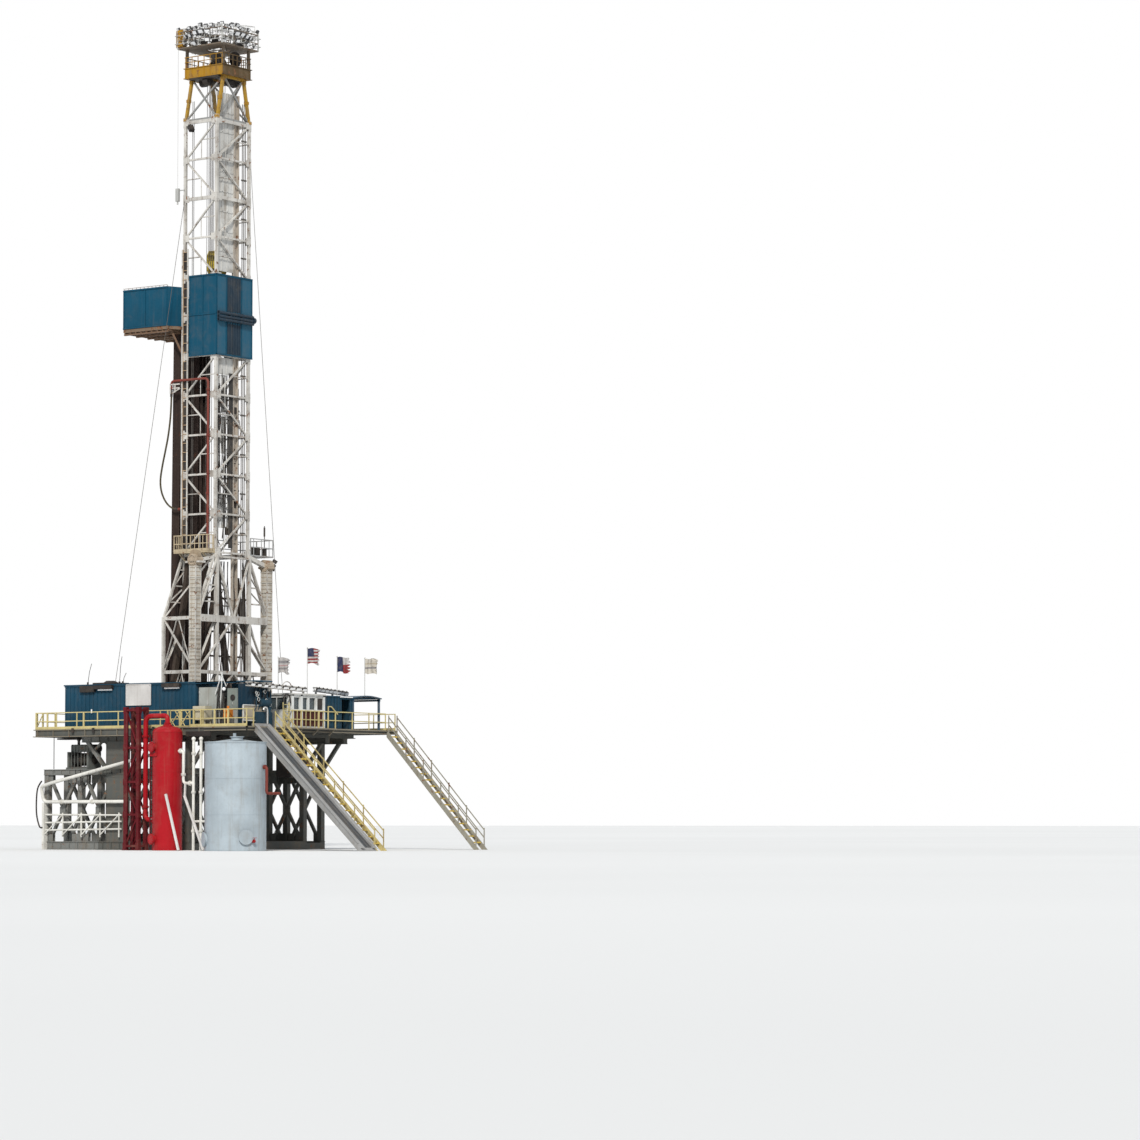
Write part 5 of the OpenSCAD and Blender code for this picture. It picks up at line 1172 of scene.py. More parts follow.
def make_light_beams():
    b = Mesh("light_beams", "mast_paint")
    d = Mesh("light_beam_lamps", "lamp_metal", DARK)
    g = Mesh("light_beam_lenses", "lamp_metal", LENS)
    for xb, y0, y1, z0, z1, n in ((5.52, -5.05, -2.20, 5.10, 4.99, 9), (4.62, -0.62, 1.00, 5.07, 4.97, 8)):
        for dz in (0.0, 0.11):
            b.bar((xb, y0, z0 + dz), (xb, y1, z1 + dz), 0.035, 0.035)
            b.bar((xb + 0.12, y0, z0 + dz), (xb + 0.12, y1, z1 + dz), 0.03, 0.03)
        for i in range(2 * n + 1):
            t0, t1 = i / (2 * n + 1), (i + 1) / (2 * n + 1)
            e0, e1 = (0.0, 0.11) if i % 2 else (0.11, 0.0)
            b.bar((xb, y0 + (y1 - y0) * t0, z0 + (z1 - z0) * t0 + e0),
                  (xb, y0 + (y1 - y0) * t1, z0 + (z1 - z0) * t1 + e1), 0.016, 0.016)
        for i in range(n):
            t = (i + 0.5) / n
            p = Vector((xb + 0.16, y0 + (y1 - y0) * t, z0 + (z1 - z0) * t + 0.03))
            floodlight(d, g, p, (0.9, -0.3, -0.5), 0.16, 0.10)
    for x, y, z in ((5.57, -4.0, 4.95), (5.57, -2.9, 4.88), (5.57, -2.3, 4.88), (4.67, -0.55, 4.8),
                    (4.67, 0.3, 4.9), (4.67, 0.95, 4.9)):
        b.post(x, y, z, 5.08, 0.05)
    b.beam_x(5.45, 5.57, -3.9, 5.06, 0.05)
    b.block((5.36, -4.35, 5.12), (5.66, -3.95, 5.28))
    b.curve([(5.52, -3.3, 5.12), (5.52, -3.15, 5.26), (5.52, -2.95, 5.26), (5.52, -2.8, 5.12)], 5, 0.03, 8)
    make_all(b, d, g)


def make_cabin_details():
    w = Mesh("cabin_frames", "cabin_paint")
    x = 5.652
    for y in (-2.94, -2.50, -1.38):
        w.post(x + 0.012, y, 3.84, 4.88, 0.024, 0.10, up=Y)
    w.beam_y(x + 0.012, -2.975, -1.325, 4.86, 0.024, 0.05)
    w.beam_y(x + 0.012, -2.975, -1.325, 4.40, 0.02, 0.04)
    for i in range(4):
        y0, y1 = -2.975 + 0.08 + i * 0.3925, -2.975 + (i + 1) * 0.3925
        for y in (y0, y1):
            w.post(x + 0.004, y, 4.40, 4.80, 0.012, 0.022, up=Y)
        for z in (4.40, 4.80):
            w.beam_y(x + 0.004, y0, y1, z, 0.012, 0.022)
    w.beam_x(4.6, 5.5, -2.979, 4.40, 0.012, 0.022)
    w.beam_x(4.6, 5.5, -2.979, 4.80, 0.012, 0.022)
    w.post(5.05, -2.979, 4.40, 4.80, 0.012, 0.03)
    w.beam_x(4.40, 5.70, -3.02, 4.90, 0.03, 0.05)
    w.make()
    d = Mesh("cabin_panel", "cabin_paint", MAROON)
    d.block((x + 0.002, -2.44, 3.90), (x + 0.010, -1.44, 4.36))
    d.block((x + 0.002, -2.91, 3.90), (x + 0.008, -2.56, 4.36))
    d.make()
    k = Mesh("cabin_inside", "lamp_metal", DARK)
    k.block((4.8, -2.7, 3.85), (5.2, -2.2, 4.6))
    k.block((4.7, -1.9, 3.85), (5.3, -1.5, 4.75))
    k.block((5.25, -2.75, 4.46), (5.45, -1.5, 4.52))
    k.block((5.652, -1.70, 4.44), (5.660, -1.47, 4.78))
    k.block((4.55, -1.2, 3.9), (4.95, -0.2, 4.6))
    for i in range(5):
        k.round_z(4.75, 0.25 + i * 0.22, 3.84, 4.35 + 0.08 * (i % 3), 0.14, 14)
    k.make()
    t = Mesh("shed_light_tube", "lamp_metal", LENS)
    t.round_y(5.72, -0.60, 0.02, 4.86, 0.035, 10)
    t.make()
    h = Mesh("shed_trims", "house_paint")
    for i in range(9):
        y = -1.30 + i * 0.17
        if not -0.55 < y < 0.05:
            h.post(x + 0.006, y, 3.86, 4.84, 0.012, 0.04, up=Y)
    h.beam_y(x + 0.012, -1.325, 0.11, 4.87, 0.024, 0.04)
    for y in (-0.50, -0.03):
        h.post(x + 0.008, y, 3.84, 4.80, 0.02, 0.03, up=Y)
    for i in range(6):
        xx = 4.50 + i * 0.2
        h.beam_y(xx, 1.44, 0.16, 4.86, 0.03)
    h.beam_x(4.42, 5.68, 0.13, 4.80, 0.04, 0.06)
    h.beam_x(4.42, 5.68, 1.50, 4.80, 0.04, 0.06)
    h.make()
    a = Mesh("cabin_arch", "cabin_paint", DARK)
    a.curve([(5.66, -3.38, 4.30), (5.66, -3.38, 4.70), (5.66, -3.30, 4.84), (5.66, -3.18, 4.86),
             (5.66, -3.08, 4.80), (5.66, -3.05, 4.6)], 6, 0.05, 10)
    a.make()


def make_driller_machines():
    m = Mesh("drawworks_body", "house_paint")
    m.round_y(3.97, -2.4, -1.2, 4.42, 0.85, 36)
    m.block((3.65, -2.55, 3.85), (4.35, -2.42, 4.95))
    m.block((3.65, -1.18, 3.85), (4.35, -1.05, 4.95))
    m.block((3.60, -2.6, 3.84), (4.38, -1.0, 3.92))
    m.make()
    d = Mesh("drawworks_drum", "sheave_iron", DARK)
    for i in range(22):
        d.ring((3.97, -2.35 + i * 0.052, 4.42), Y, 0.86, 0.05, 30, 6)
    for y in (-2.60, -1.0):
        d.round_y(3.97, y - 0.04, y + 0.04, 4.42, 0.5, 26)
    d.round_y(3.9, -2.9, -2.6, 4.2, 0.32, 22)
    d.block((3.5, -2.9, 3.84), (3.75, -2.1, 4.3))
    d.block((3.45, 0.2, 3.84), (4.2, 1.2, 4.35))
    d.block((1.5, -2.9, 3.84), (2.6, -2.2, 4.4))
    d.block((-2.6, -2.4, 3.84), (-1.9, -1.2, 4.3))
    d.make()
    p = Mesh("drawworks_pipes", "galvanised", MAT["pole_metal"])
    p.curve([(5.62, -4.13, 3.84), (5.62, -4.13, 4.30), (5.62, -4.17, 4.42), (5.62, -4.28, 4.43),
             (5.62, -4.33, 4.36)], 6, 0.06, 12)
    p.round_z(5.2, -4.05, 4.40, 5.20, 0.02, 8)
    for q in ((5.3, -3.66, 4.66), (5.3, -3.9, 4.50)):
        p.ball(q, 0.07)
        p.bar((q[0], q[1], 3.84), q, 0.03, 0.03, up=X)
    p.make()


make_doghouse_ribs()
make_doghouse_fixtures()
make_sign()
make_door_hardware()
make_cabinet_details()
make_rail_details()
make_light_beams()
make_cabin_details()
make_driller_machines()


# Pipes, vessels and the substructure
def rounded(pts, r, n=8):
    """Polyline with its corners rounded to radius r."""
    pts = [Vector(p) for p in pts]
    out = [pts[0]]
    for a, b, c in zip(pts, pts[1:], pts[2:]):
        u, v = (a - b).normalized(), (c - b).normalized()
        half = u.angle(v) / 2
        d = min(r / tan(half), (a - b).length * 0.49, (c - b).length * 0.49)
        p0, p1 = b + u * d, b + v * d
        for k in range(n + 1):
            t = k / n
            out.append((1 - t) ** 2 * p0 + 2 * t * (1 - t) * b + t * t * p1)
    return out + [pts[-1]]


def flange(m, p, axis, d, n=20):
    p, axis = Vector(p), Vector(axis).normalized()
    for e in (-0.026, 0.006):
        m.cyl(p + axis * e, p + axis * (e + 0.020), d * 1.55, n)
    s = axis.cross(Vector((0.3, 0.5, 0.8))).normalized()
    v = axis.cross(s)
    for a in turns(8):
        q = p + (s * cos(a) + v * sin(a)) * d * 0.66
        m.tube([q - axis * 0.04, q + axis * 0.04], 0.016, 6, smooth=False)


def make_standpipe():
    m = Mesh("standpipe_run", "pipe_rust")
    sx, sy, nx, nz = 0.455, STAND_Y, -1.125, 15.375
    m.tube(rounded([(sx, sy, 9.69), (sx, sy, nz), (nx, sy, nz), (nx, sy, 15.10)], 0.17), 0.08, 18)
    for z in (9.75, 11.6, 13.5, 15.0):
        flange(m, (sx, sy, z), Z, 0.08)
    flange(m, (nx, sy, 15.14), Z, 0.08)
    for i in range(1, 5):
        z = girt(i)
        m.block((sx - 0.02, sy, z - 0.02), (sx + 0.02, -HY - 0.03, z + 0.02))
        m.ring((sx, sy, z), Z, 0.10, 0.022, 18, 6)
    m.round_x(-HX - 0.045, -0.90, -HY, 11.15, 0.08, 18)
    flange(m, (-0.88, -HY, 11.15), X, 0.06)
    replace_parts(m.make(), "standpipe")
    b = Mesh("gooseneck_frame", "mast_paint")
    b.block((nx, sy - 0.02, nz - 0.26), (-HX - 0.045, sy + 0.02, nz - 0.22))
    b.block((-HX - 0.085, sy - 0.02, nz - 0.26), (-HX - 0.045, -HY, nz - 0.22))
    b.bar((nx, sy, nz - 0.42), (-HX - 0.05, sy, nz - 0.24), 0.035, 0.035)
    b.post(nx, sy - 0.05, nz - 0.42, nz - 0.10, 0.035)
    b.post(nx + 0.2, sy - 0.05, nz - 0.38, nz - 0.10, 0.03)
    b.beam_x(nx, -HX - 0.05, sy - 0.05, nz - 0.12, 0.035)
    b.make()
    e = Mesh("hose_ends", "service_rubber", DARK)
    e.round_z(nx, sy, 15.115, 14.86, 0.085, 16)
    e.cyl((-0.905, -0.820, 11.15), (-1.06, -0.833, 11.165), 0.085, 16)
    e.make()


GAS_X, GAS_Y, GAS_R = 3.055, -5.875, 0.465
TANK_X, TANK_Y, TANK_R = 6.105, -6.225, 0.94


def make_gas_pipe():
    m = Mesh("gas_pipe_run", "vessel_red")
    x = GAS_X - 0.9
    m.tube(rounded([(GAS_X, GAS_Y, 3.882), (GAS_X, GAS_Y, 4.185), (x, GAS_Y, 4.185), (x, GAS_Y, 0.95),
                    (GAS_X - GAS_R - 0.002, GAS_Y, 0.95)], 0.26, 12), 0.15, 26)
    for q, axis in (((GAS_X, GAS_Y, 3.93), Z), ((x, GAS_Y, 3.55), Z), ((x, GAS_Y, 1.35), Z),
                    ((GAS_X - GAS_R - 0.09, GAS_Y, 0.95), X)):
        flange(m, q, axis, 0.15, 26)
    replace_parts(m.make(), "gas_pipe")


def make_vessel_fittings():
    v = Mesh("vessel_fittings", "vessel_red")
    for z in (0.08, 1.22, 2.44, 3.66):
        v.ring((GAS_X, GAS_Y, z), Z, 0.93, 0.012, 64, 6)
    out = heading(-1.9)
    side = Vector((-out.y, out.x, 0))
    for z in (0.35, 3.2):
        q = Vector((GAS_X, GAS_Y, z)) + out * GAS_R
        v.cyl(q - out * 0.02, q + out * 0.10, 0.22, 24)
        v.cyl(q + out * 0.10, q + out * 0.135, 0.34, 24)
        for c in circle(q + out * 0.135, side, UP, 0.14, 12):
            v.tube([c, c + out * 0.02], 0.022, 6, smooth=False)
    v.block((GAS_X - 0.30, GAS_Y - GAS_R - 0.03, 2.92), (GAS_X - 0.02, GAS_Y - GAS_R + 0.06, 3.02))
    v.round_z(GAS_X, GAS_Y, 3.86, 3.90, 0.30, 26)
    v.round_z(GAS_X + 0.2, GAS_Y - 0.12, 3.80, 3.92, 0.07)
    for a in turns(4, 0.5):
        v.stand(GAS_X + 0.40 * cos(a), GAS_Y + 0.40 * sin(a), 0, 0.08, 0.05)
    v.make()


def make_vessel_ladder():
    ladder = Mesh("vessel_ladder", "frame_red")
    marks = Mesh("vessel_white_marks", "white_paint", SIGN)
    x, y = GAS_X - GAS_R - 0.06, GAS_Y - 0.12
    for dy in (-0.09, 0.09):
        ladder.post(x, y + dy, 0.1, 3.6, 0.025, 0.03)
    for i in range(23):
        (marks if i % 4 == 1 else ladder).round_y(x, y - 0.09, y + 0.09, 0.22 + i * 0.15, 0.024, 8)
    for z in (0.5, 1.8, 3.1):
        ladder.bar((x, y, z), (GAS_X - 0.40, GAS_Y - 0.05, z), 0.03, 0.03)
    ladder.make()
    marks.bar((3.36, -6.30, 1.74), (4.07, -6.52, 0.02), 0.07, 0.05, Y)
    marks.bar((3.80, -5.93, 1.70), (4.80, -6.20, 0.02), 0.07, 0.05, Y)
    marks.bar((3.80, -5.91, 1.64), (3.80, -5.89, 2.06), 0.05, 0.05, X)
    marks.make()


def make_gas_frame_plates():
    f = Mesh("gas_frame_plates", "frame_red")
    for x in (1.44, 1.96):
        for y in (-6.10, -5.76):
            f.block((x - 0.03, y - 0.03, 0), (x + 0.14, y + 0.14, 0.03))
            for z in (0.13, 1.11, 2.13, 3.20, 4.37):
                f.block((x - 0.012, y - 0.012, z - 0.10), (x + 0.122, y + 0.122, z + 0.10))
    f.round_z(1.6, -6.12, 0.5, 4.3, 0.06, 12)
    f.make()


def make_tank_details():
    t = Mesh("tank_details", "tank_paint")
    for z in (0.03, 1.10, 2.20, 3.27):
        t.ring((TANK_X, TANK_Y, z), Z, 1.88, 0.014, 96, 6)
    for j, z in enumerate((0.03, 1.10, 2.20)):
        for a in turns(5, 0.4 * j):
            out = heading(a + 0.5)
            q = Vector((TANK_X, TANK_Y, z)) + out * (TANK_R + 0.002)
            t.bar(q, q + UP * 1.08, 0.012, 0.008, out)
    t.round_z(TANK_X + 0.3, TANK_Y - 0.3, 3.36, 3.46, 0.36, 28)
    t.round_z(TANK_X + 0.3, TANK_Y - 0.3, 3.46, 3.48, 0.44, 28)
    t.round_z(TANK_X - 0.3, TANK_Y + 0.3, 3.36, 3.60, 0.10)
    for a, z in ((-0.55, 0.42), (-2.2, 0.35)):
        out = heading(a)
        q = Vector((TANK_X, TANK_Y, z)) + out * TANK_R
        t.cyl(q - out * 0.02, q + out * 0.05, 0.38, 30)
        t.cyl(q + out * 0.05, q + out * 0.07, 0.46, 30)
    t.make()
    k = Mesh("tank_valves", "vessel_red")
    out = heading(-0.30)
    q = Vector((TANK_X, TANK_Y, 0.30)) + out * TANK_R
    end, wheel = q + out * 0.14, q + out * 0.14 + UP * 0.10
    k.cyl(q, end, 0.07, 14)
    flange(k, q + out * 0.08, out, 0.07)
    k.ring(wheel, Z, 0.12, 0.014, 18, 6)
    k.cyl(end, wheel, 0.02, 8)
    k.make()


def make_white_pipes():
    c = Mesh("white_pipe_runs", "white_paint")
    c.tube(rounded([(-2.62, -4.935, 1.53), (-2.99, -4.935, 1.53), (-2.99, -5.065, 2.02),
                    (-2.55, -5.065, 2.133), (1.62, -5.065, 2.98)], 0.16), 0.11, 20)
    c.round_x(-2.64, 0.50, -4.935, 1.53, 0.11, 20)
    c.block((-3.015, -5.0, 0), (-2.935, -4.825, 1.50))
    for z0, z1 in ((0.62, 0.66), (0.86, 0.90), (1.12, 1.10)):
        c.cyl((-3.03, -4.90, z0), (0.30, -4.90, z1), 0.055, 12)
    for k in range(5):
        x = -3.0 + k * 0.8
        c.post(x, -4.90, 0.40, 1.18, 0.04)
        if k < 4:
            c.bar((x, -4.93, 0.45), (x + 0.8, -4.93, 1.10), 0.035, 0.03)
    y = GAS_Y
    c.tube(rounded([(3.515, y, 3.08), (3.71, y, 3.08), (3.71, y, 2.08), (4.12, y, 2.08)], 0.12), 0.09, 20)
    for x in (4.12, 4.42):
        c.round_z(x, y, 0.0, 3.45, 0.09, 20)
        c.ball((x, y, 3.45), 0.065, 20, 12)
        for z in (0.6, 1.8, 3.0):
            flange(c, (x, y, z), Z, 0.09)
    c.round_x(4.42, 5.20, y, 0.90, 0.07)
    c.round_x(4.12, 4.42, y, 0.90, 0.07)
    for q, axis in (((-2.2, -4.935, 1.53), X), ((-0.9, -4.935, 1.53), X), ((3.60, y, 3.08), X),
                    ((3.71, y, 2.35), Z), ((3.98, y, 2.08), X), ((4.9, y, 0.90), X)):
        flange(c, q, axis, 0.10)
    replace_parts(c.make(), "white_pipes")
    r = Mesh("tank_rust_pipe", "pipe_rust")
    r.tube(rounded([(7.00, -6.02, 2.55), (7.16, -6.02, 2.55), (7.16, -6.02, 1.75), (7.16, -5.4, 1.75)],
                   0.10), 0.09, 16)
    flange(r, (7.09, -6.02, 2.55), X, 0.09)
    r.make()


def make_substructure_details():
    m = Mesh("substructure_flanges", "frame_paint", SKID)
    for y in (-4.825, -3.905, 0.85, 1.77):
        for x0, x1, za, zb in ((-3.075, 3.05, 0.0, 0.26), (-3.075, 3.05, 2.39, 2.57),
                               (-1.45, 3.975, 3.42, 3.60)):
            for z in (za, zb - 0.022):
                m.block((x0, y - 0.03, z), (x1, y + 0.21, z + 0.022))
            n = int((x1 - x0) / 0.36)
            for i in range(n + 1):
                x = x0 + 0.02 + (x1 - x0 - 0.04) * i / n
                m.block((x - 0.007, y - 0.028, za), (x + 0.007, y + 0.208, zb))
        for i in range(4):
            xa = -3.075 + i * 1.53125 + 0.09
            for x, z in ((xa + 0.12, 0.38), (xa + 1.23, 0.38), (xa + 0.12, 2.27), (xa + 1.23, 2.27)):
                m.block((x - 0.14, y + 0.03, z - 0.13), (x + 0.14, y + 0.042, z + 0.13))
                m.block((x - 0.14, y + 0.138, z - 0.13), (x + 0.14, y + 0.15, z + 0.13))
            xc, zc = xa + 0.675, 1.25
            m.block((xc - 0.12, y + 0.035, zc - 0.12), (xc + 0.12, y + 0.047, zc + 0.12))
    for x in (-0.425, 0.403):
        m.block((x, -4.835, 0.28), (x + 0.022, -4.825, 3.42))
    for z in (0.9, 1.6, 2.3, 3.0):
        m.block((-0.42, -4.833, z), (0.42, -4.825, z + 0.02))
    m.make()
    w = Mesh("winch_details", "winch_paint", DARK)
    for i in range(16):
        w.ring((-2.17 + i * 0.047, -4.325, 2.89), X, 0.39, 0.030, 26, 6)
    for x in (-2.28, -1.355):
        w.round_x(x - 0.03, x + 0.03, -4.325, 2.89, 0.30, 22)
    w.round_x(-1.44, -1.16, -4.325, 3.24, 0.26, 22)
    w.round_z(-2.05, -4.325, 3.35, 3.50, 0.09, 14)
    w.ball((-2.05, -4.325, 3.54), 0.07)
    w.block((-2.20, -4.60, 2.60), (-1.45, -4.05, 2.66))
    w.make()
    r = Mesh("winch_ribs", "winch_paint")
    for i in range(7):
        x = -2.24 + i * 0.14
        r.block((x, -4.46, 3.13), (x + 0.02, -4.19, 3.37))
        r.block((x, -4.635, 2.64), (x + 0.02, -4.625, 3.12))
    r.make()
    k = Mesh("under_floor_gear", "service_rubber", DARK)
    k.round_z(-2.55, -4.95, 2.58, 3.62, 0.025, 8)
    k.curve([(-3.05, -4.98, 2.2), (-3.22, -5.0, 1.9), (-3.25, -5.0, 1.2), (-3.12, -5.0, 0.75),
             (-2.98, -5.0, 0.7)], 8, 0.05, 10)
    k.curve([(-1.35, -5.02, 2.55), (-1.30, -5.04, 2.1), (-1.18, -5.05, 1.95), (-1.05, -5.04, 2.1),
             (-1.05, -5.0, 2.5)], 8, 0.035, 10)
    k.curve([(-1.55, -5.02, 2.55), (-1.50, -5.04, 2.2), (-1.35, -5.05, 2.05), (-1.2, -5.04, 2.3)], 8, 0.03,
            10)
    k.block((4.15, -1.9, 2.3), (4.75, -1.1, 3.1))
    k.post(4.2, -1.5, 3.1, 3.62, 0.06)
    k.post(4.7, -1.5, 3.1, 3.62, 0.06)
    for i in range(5):
        y = -4.3 + i * 0.09
        k.round_x(-3.0, 3.9, y, 3.56, 0.05, 8)
    k.make()


def make_slope_details():
    fall = tan(radians(42))
    d = Mesh("slide_bed", "slide_steel", DARKGREY)
    top = Vector((0, 0, 0.006))
    a, b = Vector((5.72, -4.5, 3.84 - 0.02 * fall)) + top, Vector((9.85, -4.5, 3.84 - 4.15 * fall)) + top
    d.bar(a, b, 0.43, 0.006)
    for y in (-4.66, -4.5, -4.34):
        d.bar((a.x, y, a.z + 0.012), (b.x, y, b.z + 0.012), 0.02, 0.014)
    d.make()
    g = Mesh("slide_flanges", "slide_steel")
    for y in (-4.858, -4.142):
        g.bar((5.72, y, 3.84 - 0.02 * fall + 0.09), (9.80, y, 3.84 - 4.10 * fall + 0.09), 0.05, 0.02)
        g.bar((5.72, y, 3.84 - 0.02 * fall - 0.13), (9.75, y, 3.84 - 4.05 * fall - 0.13), 0.05, 0.02)
    for i in range(10):
        x = 5.85 + i * 0.4
        z = 3.84 - (x - 5.7) * fall
        for y in (-4.856, -4.144):
            g.post(x, y, z - 0.12, z + 0.08, 0.012, 0.02)
    g.block((5.60, -4.86, 3.842), (5.74, -4.14, 3.93))
    g.make()
    t = Mesh("stair_grating", "tread_paint")
    for y0, ang in ((-3.94, 43), (1.82, 46)):
        for i in range(1, 19):
            z = 3.84 - i * 0.2
            x = 5.70 + i * 0.2 / tan(radians(ang))
            for j in range(5):
                t.block((x - 0.185 + j * 0.042, y0 + 0.04, z), (x - 0.18 + j * 0.042, y0 + 0.44, z + 0.012))
            t.block((x - 0.012, y0 + 0.04, z - 0.03), (x - 0.004, y0 + 0.44, z + 0.016))
    t.make()
    h = Mesh("gate_frame", "gate_paint", MAT["pole_metal"])
    for y in (-5.17, -4.145):
        h.post(5.52, y, 4.03, 4.50, 0.03)
    h.beam_y(5.515, -5.17, -4.14, 4.50, 0.03)
    h.beam_y(5.515, -5.17, -4.14, 4.02, 0.03)
    h.make()


make_standpipe()
make_gas_pipe()
make_vessel_fittings()
make_vessel_ladder()
make_gas_frame_plates()
make_tank_details()
make_white_pipes()
make_substructure_details()
make_slope_details()


def make_floor_machinery():
    m = Mesh("floor_machinery", "navy_paint", SHED)
    w = Mesh("floor_machinery_pipes", "cabin_paint")
    k = Mesh("floor_machinery_dark", "sheave_iron", DARK)
    x = 5.452
    r = random.Random(3)
    m.block((x, -4.60, 3.86), (x + 0.10, -3.80, 4.30))
    m.round_y(x + 0.04, -4.40, -3.95, 4.58, 0.26, 22)
    m.round_z(x + 0.04, -3.92, 3.9, 4.75, 0.16, 20)
    for i in range(5):
        y = -4.62 + i * 0.18
        m.curve([(x + 0.02, y, 4.3), (x + 0.10, y + 0.03, 4.45 + 0.1 * (i % 2)), (x + 0.05, y + 0.08, 4.80),
                 (x + 0.02, y + 0.1, 5.0)], 5, 0.035, 8)
    for i in range(8):
        y, z = r.uniform(-4.62, -3.80), r.uniform(4.05, 5.05)
        (w if i % 3 else k).ring((x + 0.12, y, z), X, r.uniform(0.07, 0.12), 0.016, 18, 6)
        k.round_x(x, x + 0.12, y, z, 0.022, 8)
    for y, z in ((-4.45, 4.86), (-4.12, 4.93), (-3.98, 4.40)):
        w.round_x(x, x + 0.07, y, z, 0.12, 20)
        k.round_x(x + 0.07, x + 0.076, y, z, 0.09, 20)
    for i in range(6):
        y = r.uniform(-4.6, -3.8)
        k.curve([(x + 0.01, y, 5.15), (x + 0.03, y + 0.04, 4.8), (x + 0.05, y - 0.04, 4.5),
                 (x + 0.02, y, 4.2)], 5, 0.018, 6)
    m.make(0.004)
    make_all(w, k)


def make_service_loop():
    r = random.Random(12)
    g = Mesh("mast_loop_sheets", "mast_paint", SHEET)
    x = HX - 0.115
    for i, (za, zb) in enumerate(((14.3, 15.5), (13.0, 14.2), (11.75, 12.9), (10.5, 11.6))):
        for j, (ya, yb) in enumerate(((-0.70, -0.46), (-0.42, -0.18), (-0.10, 0.08))):
            c = r.uniform(-0.05, 0.05)
            if (i + 2 * j) % 5 == 4:
                continue
            g.block((x - 0.003, ya, za + c), (x + 0.003, yb, zb + c))
            g.beam_y(x + 0.008, ya, yb, za + c, 0.02)
            g.beam_y(x + 0.008, ya, yb, zb + c, 0.02)
    g.make()
    k = Mesh("mast_service_loop", "service_rubber", DARK)
    for i in range(11):
        y0 = -0.62 + 0.055 * i
        top, low = r.uniform(14.4, 15.9), r.uniform(9.9, 11.8)
        n = 9
        pts = [(0.605 + r.uniform(-0.012, 0.012), y0 + r.uniform(-0.05, 0.05),
                top + (low - top) * t / n) for t in range(n + 1)]
        k.curve(pts, 4, r.choice((0.018, 0.026, 0.036)), 8)
    for i in range(16):
        y, z = r.uniform(-0.60, 0.45), r.uniform(10.0, 15.6)
        k.ring((0.612, y, z), X, r.uniform(0.06, 0.14), 0.014, 14, 5)
    for i in range(24):
        y, z = r.uniform(-0.66, 0.68), r.uniform(4.4, 15.8)
        k.bar((0.60, y, z), (0.60, y + r.uniform(-0.22, 0.22), z + r.uniform(0.1, 0.5)), 0.018, 0.018)
    for i in range(9):
        y = r.uniform(-0.70, 0.70)
        pts = [(0.60 + r.uniform(-0.015, 0.015), y + r.uniform(-0.06, 0.06), 9.4 - t * 0.6) for t in range(9)]
        k.curve(pts, 4, r.choice((0.02, 0.03)), 8)
    k.make()


make_floor_machinery()
make_service_loop()


# Hoist and reeved lines
def make_drilling_lines():
    m = Mesh("drilling_lines_reeved", "wire_rope")
    r, top, low, d = 0.2312, 25.81, 19.42, 0.018
    for i in range(4):
        x = (i - 1.5) * 0.08
        arc = [pi * k / 20 for k in range(21)]
        pts = [(x, -r * cos(a), top + r * sin(a)) for a in arc]
        pts += [(x, r, top + (low - top) * k / 48) for k in range(1, 48)]
        pts += [(x, r * cos(a), low - r * sin(a)) for a in arc]
        pts += [(x, -r, low + (top - low) * k / 48) for k in range(1, 49)]
        m.tube(pts, d, 8)
    m_top, m_low = at(0, 0, top), at(0, 0, low)
    o = m.make()
    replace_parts(o, "drilling_lines")
    o.parent = None
    return o, m_top, m_low


